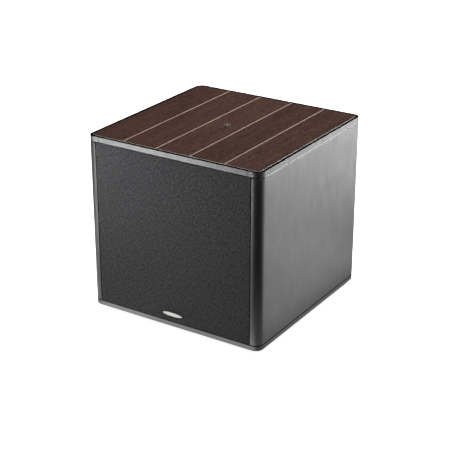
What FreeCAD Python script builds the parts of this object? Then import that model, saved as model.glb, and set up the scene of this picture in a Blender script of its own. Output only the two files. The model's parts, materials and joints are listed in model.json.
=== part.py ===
"""Front-firing powered subwoofer: a closed box with wrapped sides, a wooden top and a cloth grille.

Millimetres. +Z is up, the grille faces -Y, and the origin is on the floor under the middle of the cabinet.
"""
import FreeCAD
import Part

import math
import os

V = FreeCAD.Vector
UP = V(0, 0, 1)
BACKWARDS = V(0, 1, 0)

# Cabinet
CABINET_HALF = 200.0
CORNER_R = 17.0
FOOT_H = 12.0
BODY_H = 369.5
BAND_LOW_H = 10.5
BAND_TOP_H = 10.5
BOARD = 18.0
COVER = 2.0
LOW_GROOVE = 1.5
TOP_GROOVE = 0.5
COVER_CHAMFER = 1.2
FACE_DEPTH = 20.0
BAFFLE = 25.0
SEAT_FIT = 0.4
SCREW_LEFT = 2.0
BRACE_FRONT_Y = 10.0
BRACE_BACK_Y = 70.0
FOAM_T = 18.0
FOAM_GAP = 4.0
FOAM_FRONT_Y = -150.0
FOAM_BACK_Y = 174.0

BODY_BOTTOM = FOOT_H
BODY_TOP = FOOT_H + BODY_H
WALL_BOTTOM = BODY_BOTTOM + BAND_LOW_H
WALL_TOP = BODY_TOP - BAND_TOP_H
WALL_OUT = CABINET_HALF - COVER
WALL_IN = WALL_OUT - BOARD
FACE_Y = -CABINET_HALF + FACE_DEPTH
REAR_Y = WALL_OUT

# Top
REBATE_H = 3.5
RIM_W = 7.0
RIM_DROP = 0.3
TRIM_W = 0.8
TRIM_CHAMFER = 0.3
FIT = 0.1
PLANKS = 5
PLANK_PITCH = 77.8
INLAY_W = 1.8
INLAY_DEPTH = 1.5
DISC_R = 7.0
DISC_DEPTH = 1.0
DISC_DROP = 0.2
DISC_CHAMFER = 0.2
FRONT_BAR_HALF = 170.0
SEAM = 1.0
RIM_ROUND = 0.3
PLINTH_ROUND = 2.5

REBATE_Z = WALL_TOP + REBATE_H
TRIM_OUT = CABINET_HALF - RIM_W - FIT
TRIM_IN = TRIM_OUT - TRIM_W
WOOD_HALF = TRIM_IN - FIT
RIM_TOP = BODY_TOP - RIM_DROP
CEILING_Z = REBATE_Z - BOARD
FLOOR_Z = BODY_BOTTOM + BOARD

# Feet
FOOT_R = 20.0
FOOT_INSET = 55.0
FOOT_ROUND = 1.5
FOOT_POCKET_R = 6.0
FOOT_SCREW_R = 2.0
FOOT_SCREW_LEFT = 2.0
FOOT_SCREW_HEAD_R = 4.8
FOOT_SCREW_HEAD_H = 3.0

# The cross in a screw's head, its arms and depth as shares of the head
CROSS_SHARE = 0.62
CROSS_DEPTH_SHARE = 0.6
CROSS_HALF_W = 0.4

# Grille
GRILLE_GAP = 0.9
GRILLE_SET_BACK = 4.0
GRILLE_BACK_Y = FACE_Y - GRILLE_SET_BACK
CLOTH = 0.8
CLOTH_ROUND = 0.72
CLOTH_SHORT = 1.0
GRILLE_BAR = 15.0
PEG_R = 3.95
PEG_REACH = 10.0
PEG_CHAMFER = 1.0
PEG_BASE_T = 1.5
CUP_BORE_R = 4.0
CUP_R = 6.0
CUP_DEPTH = 12.0
CUP_END_T = 1.0
CUP_FLANGE_R = 8.0
CUP_FLANGE_T = 1.0
PEG_X = 171.0
PEG_Z_OFFSETS = (-133.0, 0.0, 133.0)
BADGE_HALF_W = 23.3
BADGE_HALF_H = 4.3
BADGE_PROUD = 2.5
BADGE_ROUND = 0.6
BADGE_Z = BODY_BOTTOM + 28.8

GRILLE_HALF = WALL_IN - GRILLE_GAP
GRILLE_LOW = WALL_BOTTOM + GRILLE_GAP
GRILLE_HIGH = WALL_TOP - GRILLE_GAP

# Driver, depths measured backwards from the front of its flange
DRIVER_Z = (FLOOR_Z + CEILING_Z) / 2
FLANGE_R = 154.0
FLANGE_T = 6.0
FLANGE_IN_R = 132.0
CUTOUT_R = 142.5
GASKET_T = 1.5
DRIVER_SCREWS = 8
DRIVER_SCREW_CIRCLE_R = 147.5
DRIVER_SCREW_FIRST_DEG = 22.5
DRIVER_SCREW_R = 2.2
DRIVER_SCREW_HOLE_R = 2.6
DRIVER_SCREW_L = 21.0
DRIVER_HEAD_R = 4.2
DRIVER_HEAD_H = 2.5
SPOKES = 6
WINDOW_HALF_DEG = 21.0
WINDOW_MARGIN = 6.0
SKIRT_T = 5.0
LEDGE_T = 4.0
LEDGE_W = 9.0
BASE_R = 80.5
BASE_T = 4.0
BASE_IN_R = 52.0
BASE_FRONT = 85.0
BASE_BACK = 90.0
ROLL_MID_R = 122.5
ROLL_IN_R = 10.25
SURROUND_T = 1.5
SURROUND_LIP_IN_R = 104.0
SURROUND_LIP_OUT_R = 141.0
CONE_RIM_R = 111.0
CONE_EDGE_R = 104.0
CONE_NECK_DEPTH = 46.0
CONE_T = 2.2
CAP_R = 45.5
CAP_H = 14.0
CAP_T = 1.0
FORMER_IN_R = 25.4
FORMER_R = 25.8
FORMER_FRONT = 44.0
FORMER_BACK = 111.0
WINDING_R = 27.2
WINDING_FRONT = 81.0
WINDING_BACK = 109.0
LEDGE_FRONT = 68.0
SPIDER_OUT_R = 75.0
SPIDER_T = 0.8
SPIDER_WAVES = 9
SPIDER_WAVE_IN_R = 30.0
SPIDER_WAVE_PITCH = 4.0
SPIDER_WAVE_H = 1.8
TOP_PLATE_R = 76.0
TOP_PLATE_BORE_R = 28.0
TOP_PLATE_T = 10.0
MAGNET_R = 82.0
MAGNET_BORE_R = 38.0
MAGNET_T = 25.0
YOKE_R = 76.0
YOKE_T = 10.0
POLE_R = 24.6
POLE_FRONT = 86.0
VENT_R = 10.0
TERMINAL_HALF_W = 12.0
TERMINAL_FRONT = 74.0
TERMINAL_BACK = 84.0
TERMINAL_SUNK = 1.0
TAB_X = 6.0
TAB_RADIUS = 89.0
TAB_HALF_W = 1.5
TAB_HALF_T = 0.4
TAB_REACH = 8.0
WIRE_R = 1.5
WIRE_GAP = 0.5
WIRE_SAG = 5.0

# Amplifier, on the rear
AMP_Z = 197.0
PLATE_HALF_W = 110.0
PLATE_HALF_H = 125.0
PLATE_T = 3.0
PLATE_SINK = 3.0
PLATE_R = 6.0
PLATE_LIP = 12.0
PLATE_SCREW_R = 1.5
PLATE_SCREW_HOLE_R = 1.8
PLATE_SCREW_L = 12.0
PLATE_HEAD_R = 3.4
PLATE_HEAD_H = 1.9
PLATE_HOLE_GAP = 0.2
PLATE_Y = REAR_Y - PLATE_SINK
PLATE_IN_Y = PLATE_Y - PLATE_T
CONTROLS_Z = AMP_Z + 88.0
BOARD_Y = PLATE_Y - 15.0
BOARD_T = 1.6
BOARD_HALF_W = 90.0
BOARD_LOW_Z = AMP_Z + 32.0
BOARD_HIGH_Z = AMP_Z + 106.0
SINK_HALF_W = 85.0
SINK_LOW_Z = AMP_Z - 52.0
SINK_HIGH_Z = AMP_Z + 18.0
SINK_BASE_T = 5.0
SINK_FINS = 15
SINK_FIN_T = 2.0
SINK_FIN_REACH = 22.0
CAN_XS = (-55.0, 45.0)
CAN_Z = AMP_Z + 70.0
CAN_R = 12.5
CAN_H = 36.0
TOROID_X = 60.0
TOROID_Y = 105.0
TOROID_R = 48.0
TOROID_BORE_R = 14.0
TOROID_H = 40.0
TOROID_ROUND = 10.0
KNOB_R = 10.0
KNOB_H = 8.0
KNOB_GAP = 0.8
KNOB_ROUND = 1.0
KNOB_ROOF = 1.8
KNOB_GROOVES = 18
KNOB_GROOVE_R = 0.8
KNOB_GROOVE_OUT = 0.3
KNOB_GROOVE_STOP = 2.0
POINTER_HALF_W = 0.5
POINTER_DEPTH = 0.5
POINTER_START = 3.0
POT_HALF_W = 8.0
POT_HALF_H = 9.0
POT_BACK_T = 3.0
POT_FRONT_GAP = 2.0
BUSHING_SUNK = 3.0
POT_SHAFT_GAP = 0.5
SHAFT_R = 3.0
SHAFT_FIT = 0.05
BUSHING_R = 4.0
VOLUME_X = 70.0
CROSSOVER_X = 30.0
PHASE_X = -8.0
JACK_XS = (-42.0, -68.0)
JACK_R = 4.15
JACK_BORE_R = 1.7
JACK_REACH = 8.5
JACK_CHAMFER = 0.4
JACK_WASHER_W = 2.0
JACK_WASHER_T = 1.5
JACK_BORE_DEPTH = 6.0
LENS_R = 2.5
LENS_Z = AMP_Z + 48.0
LENS_COLLAR = 0.5
LENS_DOME = 1.7
SOCKETS_Z = AMP_Z - 85.0
ROCKER_X = -40.0
ROCKER_R = 9.5
ROCKER_HALF_W = 5.3
ROCKER_TILT_DEG = 8.0
ROCKER_DIP = 5.0
ROCKER_GAP = 0.3
SWITCH_WALL_W = 1.2
SWITCH_WALL_H = 1.3
SWITCH_BEZEL = 1.5
SWITCH_END_T = 1.0
ROCKER_PIVOT_Y = PLATE_Y - 4.0
SLIDER_HALF = 2.2
SLIDER_TRAVEL = 4.0
SLIDER_PROUD = 2.5
SLIDER_GAP = 0.5
SLIDER_FIT = 0.6
SLIDE_SWITCH_HALF_W = 11.0
SLIDE_SWITCH_HALF_H = 5.0
SLIDE_SWITCH_BACK_T = 2.0
INLET_X = 45.0
INLET_HALF_W = 15.0
INLET_HALF_H = 19.0
INLET_FLANGE_T = 2.5
INLET_FLANGE_W = 3.0
INLET_FLANGE_H = 4.0
INLET_ROUND = 3.0
INLET_DEPTH = 26.0
MOUTH_HALF_W = 12.0
MOUTH_H = 16.5
MOUTH_DEPTH = 17.0
MOUTH_CHAMFER = 4.0
PIN_SET_BACK = 5.2
PIN_PITCH = 7.0
PIN_STAGGER = 2.0
PIN_HALF_W = 1.0
PIN_HALF_H = 2.0
DRAWER_CLEARANCE = 0.3
DRAWER_HALF_W = 11.7
DRAWER_H = 10.4
DRAWER_DEPTH = 21.5
DRAWER_PROUD = 1.0
NICK_HALF_W = 3.0
NICK_DEPTH = 1.2
NICK_H = 1.5
FUSE_R = 2.5
FUSE_L = 20.0
FUSE_BACK = 12.0
FUSE_GAP = 0.3

SHAFT_END_Y = PLATE_Y + KNOB_GAP + KNOB_H - KNOB_ROOF
SLOT_HALF_W = SLIDER_TRAVEL / 2 + SLIDER_HALF + 1
SLOT_HALF_H = SLIDER_HALF + SLIDER_FIT
SWITCH_HALF_W = ROCKER_HALF_W + SWITCH_WALL_W
SWITCH_HALF_H = ROCKER_R + SWITCH_WALL_H
INLET_FRONT_Y = PLATE_Y + INLET_FLANGE_T
MOUTH_LOW_Z = SOCKETS_Z - 16.0
DRAWER_LOW_Z = SOCKETS_Z + 5.3
DRAWER_HIGH_Z = DRAWER_LOW_Z + DRAWER_H


# Shapes used again and again

def block(x0, x1, y0, y1, z0, z1):
    return Part.makeBox(x1 - x0, y1 - y0, z1 - z0, V(x0, y0, z0))


def tablet(half_x, half_y, radius, z0, z1):
    """A block centred on the Z axis, with rounded upright edges."""
    solid = block(-half_x, half_x, -half_y, half_y, z0, z1)
    upright = [e for e in solid.Edges if abs(e.tangentAt(e.FirstParameter).z) > 0.5]
    return solid.makeFillet(radius, upright)


def outer_edges(solid, z):
    """The edges that lie in the level plane at z."""
    return [e for e in solid.Edges if e.BoundBox.ZLength < 1e-6 and abs(e.BoundBox.ZMin - z) < 1e-6]


def back_edges(solid, y):
    """The edges at the back end of a rod that ends at y."""
    return [e for e in solid.Edges if e.BoundBox.YMin > y - 1e-6]


def rod(x, z, radius, y0, y1):
    """A cylinder along Y."""
    return Part.makeCylinder(radius, y1 - y0, V(x, y0, z), BACKWARDS)


def tube(x, z, bore, radius, y0, y1):
    return rod(x, z, radius, y0, y1).cut(rod(x, z, bore, y0 - 1, y1 + 1))


def upright_rod(x, y, radius, z0, z1):
    return Part.makeCylinder(radius, z1 - z0, V(x, y, z0), UP)


def driver_point(radius, depth):
    return V(radius, FACE_Y + depth, DRIVER_Z)


def turn(edges):
    """The solid that a closed outline of driver points makes round the driver's axis."""
    face = Part.Face(Part.Wire(edges))
    return face.revolve(V(0, 0, DRIVER_Z), BACKWARDS, 360)


def outline(points):
    """Straight edges through the (radius, depth) points, and back to the first."""
    corners = [driver_point(*p) for p in points]
    return [Part.makeLine(a, b) for a, b in zip(corners, corners[1:] + corners[:1])]


def arc(start, middle, end):
    return Part.Arc(driver_point(*start), driver_point(*middle), driver_point(*end)).toShape()


def around(count, radius, first_deg):
    """(x, z) of count places round the driver's axis."""
    angles = [math.radians(first_deg + 360.0 * i / count) for i in range(count)]
    return [(radius * math.cos(a), DRIVER_Z + radius * math.sin(a)) for a in angles]


def driver_screw_places():
    return around(DRIVER_SCREWS, DRIVER_SCREW_CIRCLE_R, DRIVER_SCREW_FIRST_DEG)


def group(solids):
    return Part.makeCompound(solids)


def with_holes(solid, holes):
    for hole in holes:
        solid = solid.cut(hole)
    return solid


# Cabinet

def foot_places():
    reach = CABINET_HALF - FOOT_INSET
    return [(x, y) for x in (-reach, reach) for y in (-reach, reach)]


def side_wall(side):
    shell = tablet(WALL_OUT, WALL_OUT, CORNER_R - COVER, WALL_BOTTOM, WALL_TOP)
    x0, x1 = sorted((side * WALL_IN, side * CABINET_HALF))
    return shell.common(block(x0, x1, -CABINET_HALF, CABINET_HALF, WALL_BOTTOM, WALL_TOP))


def side_cover(side):
    low = WALL_BOTTOM + LOW_GROOVE
    high = WALL_TOP - TOP_GROOVE
    shell = tablet(CABINET_HALF, CABINET_HALF, CORNER_R, low, high)
    shell = shell.makeChamfer(COVER_CHAMFER, outer_edges(shell, low) + outer_edges(shell, high))
    shell = shell.cut(tablet(WALL_OUT, WALL_OUT, CORNER_R - COVER, low - 1, high + 1))
    x0, x1 = sorted((side * WALL_IN, side * (CABINET_HALF + 1)))
    return shell.common(block(x0, x1, -CABINET_HALF - 1, CABINET_HALF + 1, low, high))


def bottom_panel():
    board = block(-WALL_IN, WALL_IN, FACE_Y, WALL_IN, BODY_BOTTOM, FLOOR_Z)
    top = FLOOR_Z - FOOT_SCREW_LEFT
    holes = [upright_rod(x, y, FOOT_SCREW_R + FIT, BODY_BOTTOM - 1, top) for x, y in foot_places()]
    return with_holes(board, holes)


def top_panel():
    return block(-WALL_IN, WALL_IN, FACE_Y, WALL_IN, CEILING_Z, REBATE_Z)


def plate_screw_places():
    x = PLATE_HALF_W - PLATE_LIP / 2
    z = PLATE_HALF_H - PLATE_LIP / 2
    corners = [(sx * x, AMP_Z + sz * z) for sx in (-1, 1) for sz in (-1, 1)]
    sides = [(sx * x, AMP_Z + sz * z / 3) for sx in (-1, 1) for sz in (-1, 1)]
    ends = [(0.0, AMP_Z - z), (0.0, AMP_Z + z)]
    return corners + sides + ends


def amp_tablet(half_w, half_h, radius, y0, y1):
    """A block along Y behind the cabinet, centred on the amplifier, with rounded corners."""
    solid = block(-half_w, half_w, y0, y1, AMP_Z - half_h, AMP_Z + half_h)
    along = [e for e in solid.Edges if abs(e.tangentAt(e.FirstParameter).y) > 0.5]
    return solid.makeFillet(radius, along)


def back_panel():
    board = block(-WALL_IN, WALL_IN, WALL_IN, REAR_Y, WALL_BOTTOM, WALL_TOP)
    seat_y = PLATE_IN_Y - GASKET_T
    seat = amp_tablet(PLATE_HALF_W + SEAT_FIT, PLATE_HALF_H + SEAT_FIT, PLATE_R, seat_y, REAR_Y + 1)
    window = amp_tablet(PLATE_HALF_W - PLATE_LIP, PLATE_HALF_H - PLATE_LIP, PLATE_R, WALL_IN - 1, REAR_Y)
    screws = [rod(x, z, PLATE_SCREW_R + FIT, WALL_IN + SCREW_LEFT, REAR_Y) for x, z in plate_screw_places()]
    return with_holes(board, [seat, window] + screws)


def cup_places():
    return [(side * PEG_X, DRIVER_Z + dz) for side in (-1, 1) for dz in PEG_Z_OFFSETS]


def front_baffle():
    board = block(-WALL_IN, WALL_IN, FACE_Y, FACE_Y + BAFFLE, FLOOR_Z, CEILING_Z)
    seat = rod(0, DRIVER_Z, FLANGE_R + SEAT_FIT, FACE_Y - 1, FACE_Y + FLANGE_T + GASKET_T)
    opening = rod(0, DRIVER_Z, CUTOUT_R, FACE_Y - 1, FACE_Y + BAFFLE + 1)
    cups = [rod(x, z, CUP_R, FACE_Y - 1, FACE_Y + CUP_DEPTH + CUP_END_T) for x, z in cup_places()]
    bottom = FACE_Y + BAFFLE - SCREW_LEFT
    pilots = [rod(x, z, DRIVER_SCREW_R + FIT, FACE_Y, bottom) for x, z in driver_screw_places()]
    return with_holes(board, [seat, opening] + cups + pilots)


def cross_brace():
    half = BOARD / 2
    return block(-WALL_IN, WALL_IN, BRACE_FRONT_Y, BRACE_BACK_Y, DRIVER_Z - half, DRIVER_Z + half)


def damping_foam():
    """Lining against the inside of the left and right walls, above and below the brace."""
    low = (FLOOR_Z + FOAM_GAP, DRIVER_Z - BOARD / 2 - FOAM_GAP)
    high = (DRIVER_Z + BOARD / 2 + FOAM_GAP, CEILING_Z - FOAM_GAP)
    pads = []
    for z0, z1 in (low, high):
        for x0, x1 in ((-WALL_IN, FOAM_T - WALL_IN), (WALL_IN - FOAM_T, WALL_IN)):
            pads.append(block(x0, x1, FOAM_FRONT_Y, FOAM_BACK_Y, z0, z1))
    return group(pads)


def bottom_frame():
    ring = tablet(CABINET_HALF, CABINET_HALF, CORNER_R, BODY_BOTTOM, WALL_BOTTOM)
    ring = ring.makeFillet(PLINTH_ROUND, outer_edges(ring, BODY_BOTTOM))
    return ring.cut(block(-WALL_IN, WALL_IN, FACE_Y, WALL_IN, BODY_BOTTOM - 1, WALL_BOTTOM + 1))


def top_ring():
    """The whole rim of the top: a wide low step that carries the top, and a narrow upstand round it."""
    ring = tablet(CABINET_HALF, CABINET_HALF, CORNER_R, WALL_TOP, RIM_TOP)
    ring = ring.makeFillet(RIM_ROUND, outer_edges(ring, RIM_TOP))
    ring = ring.cut(block(-WALL_IN, WALL_IN, FACE_Y, WALL_IN, WALL_TOP - 1, BODY_TOP + 1))
    inside = CABINET_HALF - RIM_W
    return ring.cut(tablet(inside, inside, CORNER_R - RIM_W, REBATE_Z, BODY_TOP + 1))


def front_bar_space(half_x):
    return block(-half_x, half_x, -CABINET_HALF - 1, FACE_Y, WALL_TOP - 1, BODY_TOP + 1)


def top_frame():
    return top_ring().cut(front_bar_space(FRONT_BAR_HALF + SEAM))


def top_frame_front_bar():
    return top_ring().common(front_bar_space(FRONT_BAR_HALF))


def top_trim_ring():
    """A pale edging round the wood, flush with it, whose outer corner slopes down to the rim."""
    radius = CORNER_R - RIM_W - FIT
    ring = tablet(TRIM_OUT, TRIM_OUT, radius, REBATE_Z, BODY_TOP)
    ring = ring.makeChamfer(TRIM_CHAMFER, outer_edges(ring, BODY_TOP))
    return ring.cut(tablet(TRIM_IN, TRIM_IN, radius - TRIM_W, REBATE_Z - 1, BODY_TOP + 1))


def inlay_places():
    return [(i + 0.5 - (PLANKS - 1) / 2) * PLANK_PITCH for i in range(PLANKS - 1)]


def inlay_strip(x):
    half = INLAY_W / 2
    return block(x - half, x + half, -WOOD_HALF, WOOD_HALF, BODY_TOP - INLAY_DEPTH, BODY_TOP)


def top_wood_panel():
    board = tablet(WOOD_HALF, WOOD_HALF, CORNER_R - RIM_W - TRIM_W - 2 * FIT, REBATE_Z, BODY_TOP)
    disc = upright_rod(0, 0, DISC_R, BODY_TOP - DISC_DEPTH, BODY_TOP + 1)
    return with_holes(board, [inlay_strip(x) for x in inlay_places()] + [disc])


def top_inlay_strips():
    return group([inlay_strip(x) for x in inlay_places()])


def top_disc():
    top = BODY_TOP - DISC_DROP
    disc = upright_rod(0, 0, DISC_R - FIT, BODY_TOP - DISC_DEPTH, top)
    return disc.makeChamfer(DISC_CHAMFER, outer_edges(disc, top))


def feet():
    made = []
    for x, y in foot_places():
        foot = upright_rod(x, y, FOOT_R, 0, FOOT_H)
        foot = foot.makeFillet(FOOT_ROUND, outer_edges(foot, 0))
        pocket = upright_rod(x, y, FOOT_POCKET_R, -1, FOOT_H / 2)
        hole = upright_rod(x, y, FOOT_SCREW_R + FIT, 0, FOOT_H + 1)
        made.append(with_holes(foot, [pocket, hole]))
    return group(made)


def screw(x, z, head_r, head_h, shank_r, face_y, into, length):
    """A pan-head screw along Y whose head stands out of face_y. It is driven along into, +1 or -1."""
    head_end = face_y - into * head_h
    head = rod(x, z, head_r, min(face_y, head_end), max(face_y, head_end))
    shank_end = face_y + into * length
    shank = rod(x, z, shank_r, min(face_y, shank_end), max(face_y, shank_end))
    arm = head_r * CROSS_SHARE
    half = CROSS_HALF_W
    y0, y1 = sorted((head_end, head_end + into * head_h * CROSS_DEPTH_SHARE))
    cross = [
        block(x - arm, x + arm, y0, y1, z - half, z + half),
        block(x - half, x + half, y0, y1, z - arm, z + arm),
    ]
    return with_holes(head.fuse(shank).removeSplitter(), cross)


def foot_screws():
    made = []
    for x, y in foot_places():
        head = upright_rod(x, y, FOOT_SCREW_HEAD_R, FOOT_H / 2 - FOOT_SCREW_HEAD_H, FOOT_H / 2)
        shank = upright_rod(x, y, FOOT_SCREW_R, FOOT_H / 2, FLOOR_Z - 2 * FOOT_SCREW_LEFT)
        made.append(head.fuse(shank).removeSplitter())
    return group(made)


# Grille

def grille_block(inset, y0, y1):
    half = GRILLE_HALF - inset
    return block(-half, half, y0, y1, GRILLE_LOW + inset, GRILLE_HIGH - inset)


def grille_frame():
    front = -CABINET_HALF + CLOTH
    frame = grille_block(CLOTH, front, GRILLE_BACK_Y)
    return frame.cut(grille_block(CLOTH + GRILLE_BAR, front - 1, GRILLE_BACK_Y + 1))


def grille_cloth():
    """Cloth stretched over the frame's front and pulled round its four edges."""
    cloth = grille_block(0, -CABINET_HALF, GRILLE_BACK_Y - CLOTH_SHORT)
    front = [e for e in cloth.Edges if e.BoundBox.YMax < 1e-6 - CABINET_HALF]
    cloth = cloth.makeFillet(CLOTH_ROUND, front)
    return cloth.cut(grille_block(CLOTH, -CABINET_HALF + CLOTH, GRILLE_BACK_Y))


def grille_pegs():
    tip = FACE_Y + PEG_REACH
    made = []
    for x, z in cup_places():
        base = rod(x, z, CUP_R, GRILLE_BACK_Y, GRILLE_BACK_Y + PEG_BASE_T)
        stem = rod(x, z, PEG_R, GRILLE_BACK_Y, tip)
        stem = stem.makeChamfer(PEG_CHAMFER, back_edges(stem, tip))
        made.append(base.fuse(stem).removeSplitter())
    return group(made)


def grille_cups():
    made = []
    for x, z in cup_places():
        flange = rod(x, z, CUP_FLANGE_R, FACE_Y - CUP_FLANGE_T, FACE_Y)
        barrel = rod(x, z, CUP_R, FACE_Y, FACE_Y + CUP_DEPTH + CUP_END_T)
        bore = rod(x, z, CUP_BORE_R, FACE_Y - CUP_FLANGE_T - 1, FACE_Y + CUP_DEPTH)
        made.append(flange.fuse(barrel).removeSplitter().cut(bore))
    return group(made)


def badge():
    """A plain oval plate with a softened front edge."""
    oval = Part.Ellipse(V(0, 0, 0), BADGE_HALF_W, BADGE_HALF_H).toShape()
    plate = Part.Face(Part.Wire([oval])).extrude(V(0, 0, BADGE_PROUD))
    plate = plate.makeFillet(BADGE_ROUND, outer_edges(plate, BADGE_PROUD))
    plate.rotate(V(0, 0, 0), V(1, 0, 0), 90)
    plate.translate(V(0, -CABINET_HALF, BADGE_Z))
    return plate


# Driver

def wedge(half_deg, middle_deg, r0, r1, d0, d1):
    """A sector of the space round the driver's axis, to cut a window between two spokes."""
    points = []
    for radius, angle in ((r0, -half_deg), (r1, -half_deg), (r1, half_deg), (r0, half_deg)):
        a = math.radians(middle_deg + angle)
        points.append(V(radius * math.cos(a), FACE_Y + d0, DRIVER_Z + radius * math.sin(a)))
    wire = Part.makePolygon(points + points[:1])
    return Part.Face(wire).extrude(V(0, d1 - d0, 0))


def driver_basket():
    """Cast chassis: flange, sloping skirt of spokes, ledge for the spider, and the seat for the motor."""
    skirt_r = SURROUND_LIP_OUT_R
    ledge_r = BASE_R + BASE_T
    ledge_back = LEDGE_FRONT + LEDGE_T
    basket = turn(outline([
        (FLANGE_IN_R, 0),
        (FLANGE_R, 0),
        (FLANGE_R, FLANGE_T),
        (skirt_r, FLANGE_T),
        (skirt_r, FLANGE_T * 1.5),
        (ledge_r, LEDGE_FRONT),
        (BASE_R, ledge_back),
        (BASE_R, BASE_BACK),
        (BASE_IN_R, BASE_BACK),
        (BASE_IN_R, BASE_FRONT),
        (BASE_R - BASE_T, BASE_FRONT),
        (BASE_R - BASE_T, ledge_back),
        (SPIDER_OUT_R - LEDGE_W, ledge_back),
        (SPIDER_OUT_R - LEDGE_W, LEDGE_FRONT),
        (ledge_r - SKIRT_T, LEDGE_FRONT),
        (skirt_r - SKIRT_T, FLANGE_T * 4 / 3),
        (FLANGE_IN_R, FLANGE_T * 2 / 3),
    ]))
    upper = (FLANGE_T + WINDOW_MARGIN, LEDGE_FRONT - WINDOW_MARGIN)
    lower = (ledge_back + BASE_T / 2, BASE_FRONT - 1)
    holes = []
    for i in range(SPOKES):
        angle = 360.0 * i / SPOKES
        for depths in (upper, lower):
            holes.append(wedge(WINDOW_HALF_DEG, angle, BASE_R - 2 * WINDOW_MARGIN, FLANGE_R, *depths))
    for x, z in driver_screw_places():
        holes.append(rod(x, z, DRIVER_SCREW_HOLE_R, FACE_Y - 1, FACE_Y + FLANGE_T + 1))
    return with_holes(basket, holes)


def foam_gaskets():
    """The sealing rings under the driver's flange and under the amplifier's plate."""
    y = FACE_Y + FLANGE_T
    ring = tube(0, DRIVER_Z, CUTOUT_R, FLANGE_R, y, y + GASKET_T)
    pilots = [rod(x, z, DRIVER_SCREW_R + FIT, y - 1, y + GASKET_T + 1) for x, z in driver_screw_places()]
    ring = with_holes(ring, pilots)
    y0 = PLATE_IN_Y - GASKET_T
    frame = amp_tablet(PLATE_HALF_W, PLATE_HALF_H, PLATE_R, y0, PLATE_IN_Y)
    window = amp_tablet(PLATE_HALF_W - PLATE_LIP, PLATE_HALF_H - PLATE_LIP, PLATE_R, y0 - 1, PLATE_IN_Y + 1)
    screws = [rod(x, z, PLATE_SCREW_R + FIT, y0 - 1, PLATE_IN_Y + 1) for x, z in plate_screw_places()]
    return group([ring, with_holes(frame, [window] + screws)])


def driver_screws():
    made = []
    for x, z in driver_screw_places():
        made.append(screw(x, z, DRIVER_HEAD_R, DRIVER_HEAD_H, DRIVER_SCREW_R, FACE_Y, 1, DRIVER_SCREW_L))
    return group(made)


def surround():
    """A half-roll of rubber between two flat lips, bulging forwards."""
    inner, outer = ROLL_IN_R, ROLL_IN_R + SURROUND_T
    foot = math.sqrt(outer ** 2 - SURROUND_T ** 2)
    mid = ROLL_MID_R
    lip_in, lip_out = SURROUND_LIP_IN_R, SURROUND_LIP_OUT_R
    back = arc((mid - inner, 0), (mid, -inner), (mid + inner, 0))
    front = arc((mid + foot, -SURROUND_T), (mid, -outer), (mid - foot, -SURROUND_T))
    line = Part.makeLine
    return turn([
        line(driver_point(lip_in, 0), driver_point(mid - inner, 0)),
        back,
        line(driver_point(mid + inner, 0), driver_point(lip_out, 0)),
        line(driver_point(lip_out, 0), driver_point(lip_out, -SURROUND_T)),
        line(driver_point(lip_out, -SURROUND_T), driver_point(mid + foot, -SURROUND_T)),
        front,
        line(driver_point(mid - foot, -SURROUND_T), driver_point(lip_in, -SURROUND_T)),
        line(driver_point(lip_in, -SURROUND_T), driver_point(lip_in, 0)),
    ])


def cone():
    return turn(outline([
        (CONE_RIM_R, 0),
        (CONE_EDGE_R, 0),
        (FORMER_R, CONE_NECK_DEPTH),
        (FORMER_R, CONE_NECK_DEPTH + CONE_T),
        (CONE_EDGE_R - 1, CONE_T),
        (CONE_RIM_R, CONE_T * 0.7),
    ]))


def dust_cap():
    """A shallow dome glued to the cone's front."""
    slope = CONE_NECK_DEPTH / (CONE_EDGE_R - FORMER_R)
    base = (CONE_EDGE_R - CAP_R) * slope - CAP_T
    bulge = (CAP_R ** 2 + CAP_H ** 2) / (2 * CAP_H)
    half_r = CAP_R / 2
    half_h = math.sqrt(bulge ** 2 - half_r ** 2) - (bulge - CAP_H)
    return turn([
        Part.makeLine(driver_point(0, base - CAP_H), driver_point(0, base - CAP_H + CAP_T)),
        arc((0, base - CAP_H + CAP_T), (half_r, base - half_h + CAP_T), (CAP_R, base + CAP_T * 0.9)),
        Part.makeLine(driver_point(CAP_R, base + CAP_T * 0.9), driver_point(CAP_R, base)),
        arc((CAP_R, base), (half_r, base - half_h), (0, base - CAP_H)),
    ])


def coil_former():
    return tube(0, DRIVER_Z, FORMER_IN_R, FORMER_R, FACE_Y + FORMER_FRONT, FACE_Y + FORMER_BACK)


def coil_winding():
    return tube(0, DRIVER_Z, FORMER_R, WINDING_R, FACE_Y + WINDING_FRONT, FACE_Y + WINDING_BACK)


def spider():
    """A corrugated cloth disc between the coil former and the basket's ledge."""
    back = LEDGE_FRONT
    front = LEDGE_FRONT - SPIDER_T
    wave_out = SPIDER_WAVE_IN_R + SPIDER_WAVES * SPIDER_WAVE_PITCH

    def waves(level, outwards):
        edges = []
        for i in range(SPIDER_WAVES):
            r0 = SPIDER_WAVE_IN_R + i * SPIDER_WAVE_PITCH
            r1 = r0 + SPIDER_WAVE_PITCH
            crest = level + (SPIDER_WAVE_H if i % 2 else -SPIDER_WAVE_H)
            edges.append(arc((r0, level), ((r0 + r1) / 2, crest), (r1, level)))
        return edges if outwards else edges[::-1]

    line = Part.makeLine
    return turn(
        [line(driver_point(FORMER_R, back), driver_point(SPIDER_WAVE_IN_R, back))]
        + waves(back, True)
        + [
            line(driver_point(wave_out, back), driver_point(SPIDER_OUT_R, back)),
            line(driver_point(SPIDER_OUT_R, back), driver_point(SPIDER_OUT_R, front)),
            line(driver_point(SPIDER_OUT_R, front), driver_point(wave_out, front)),
        ]
        + waves(front, False)
        + [
            line(driver_point(SPIDER_WAVE_IN_R, front), driver_point(FORMER_R, front)),
            line(driver_point(FORMER_R, front), driver_point(FORMER_R, back)),
        ]
    )


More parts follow.
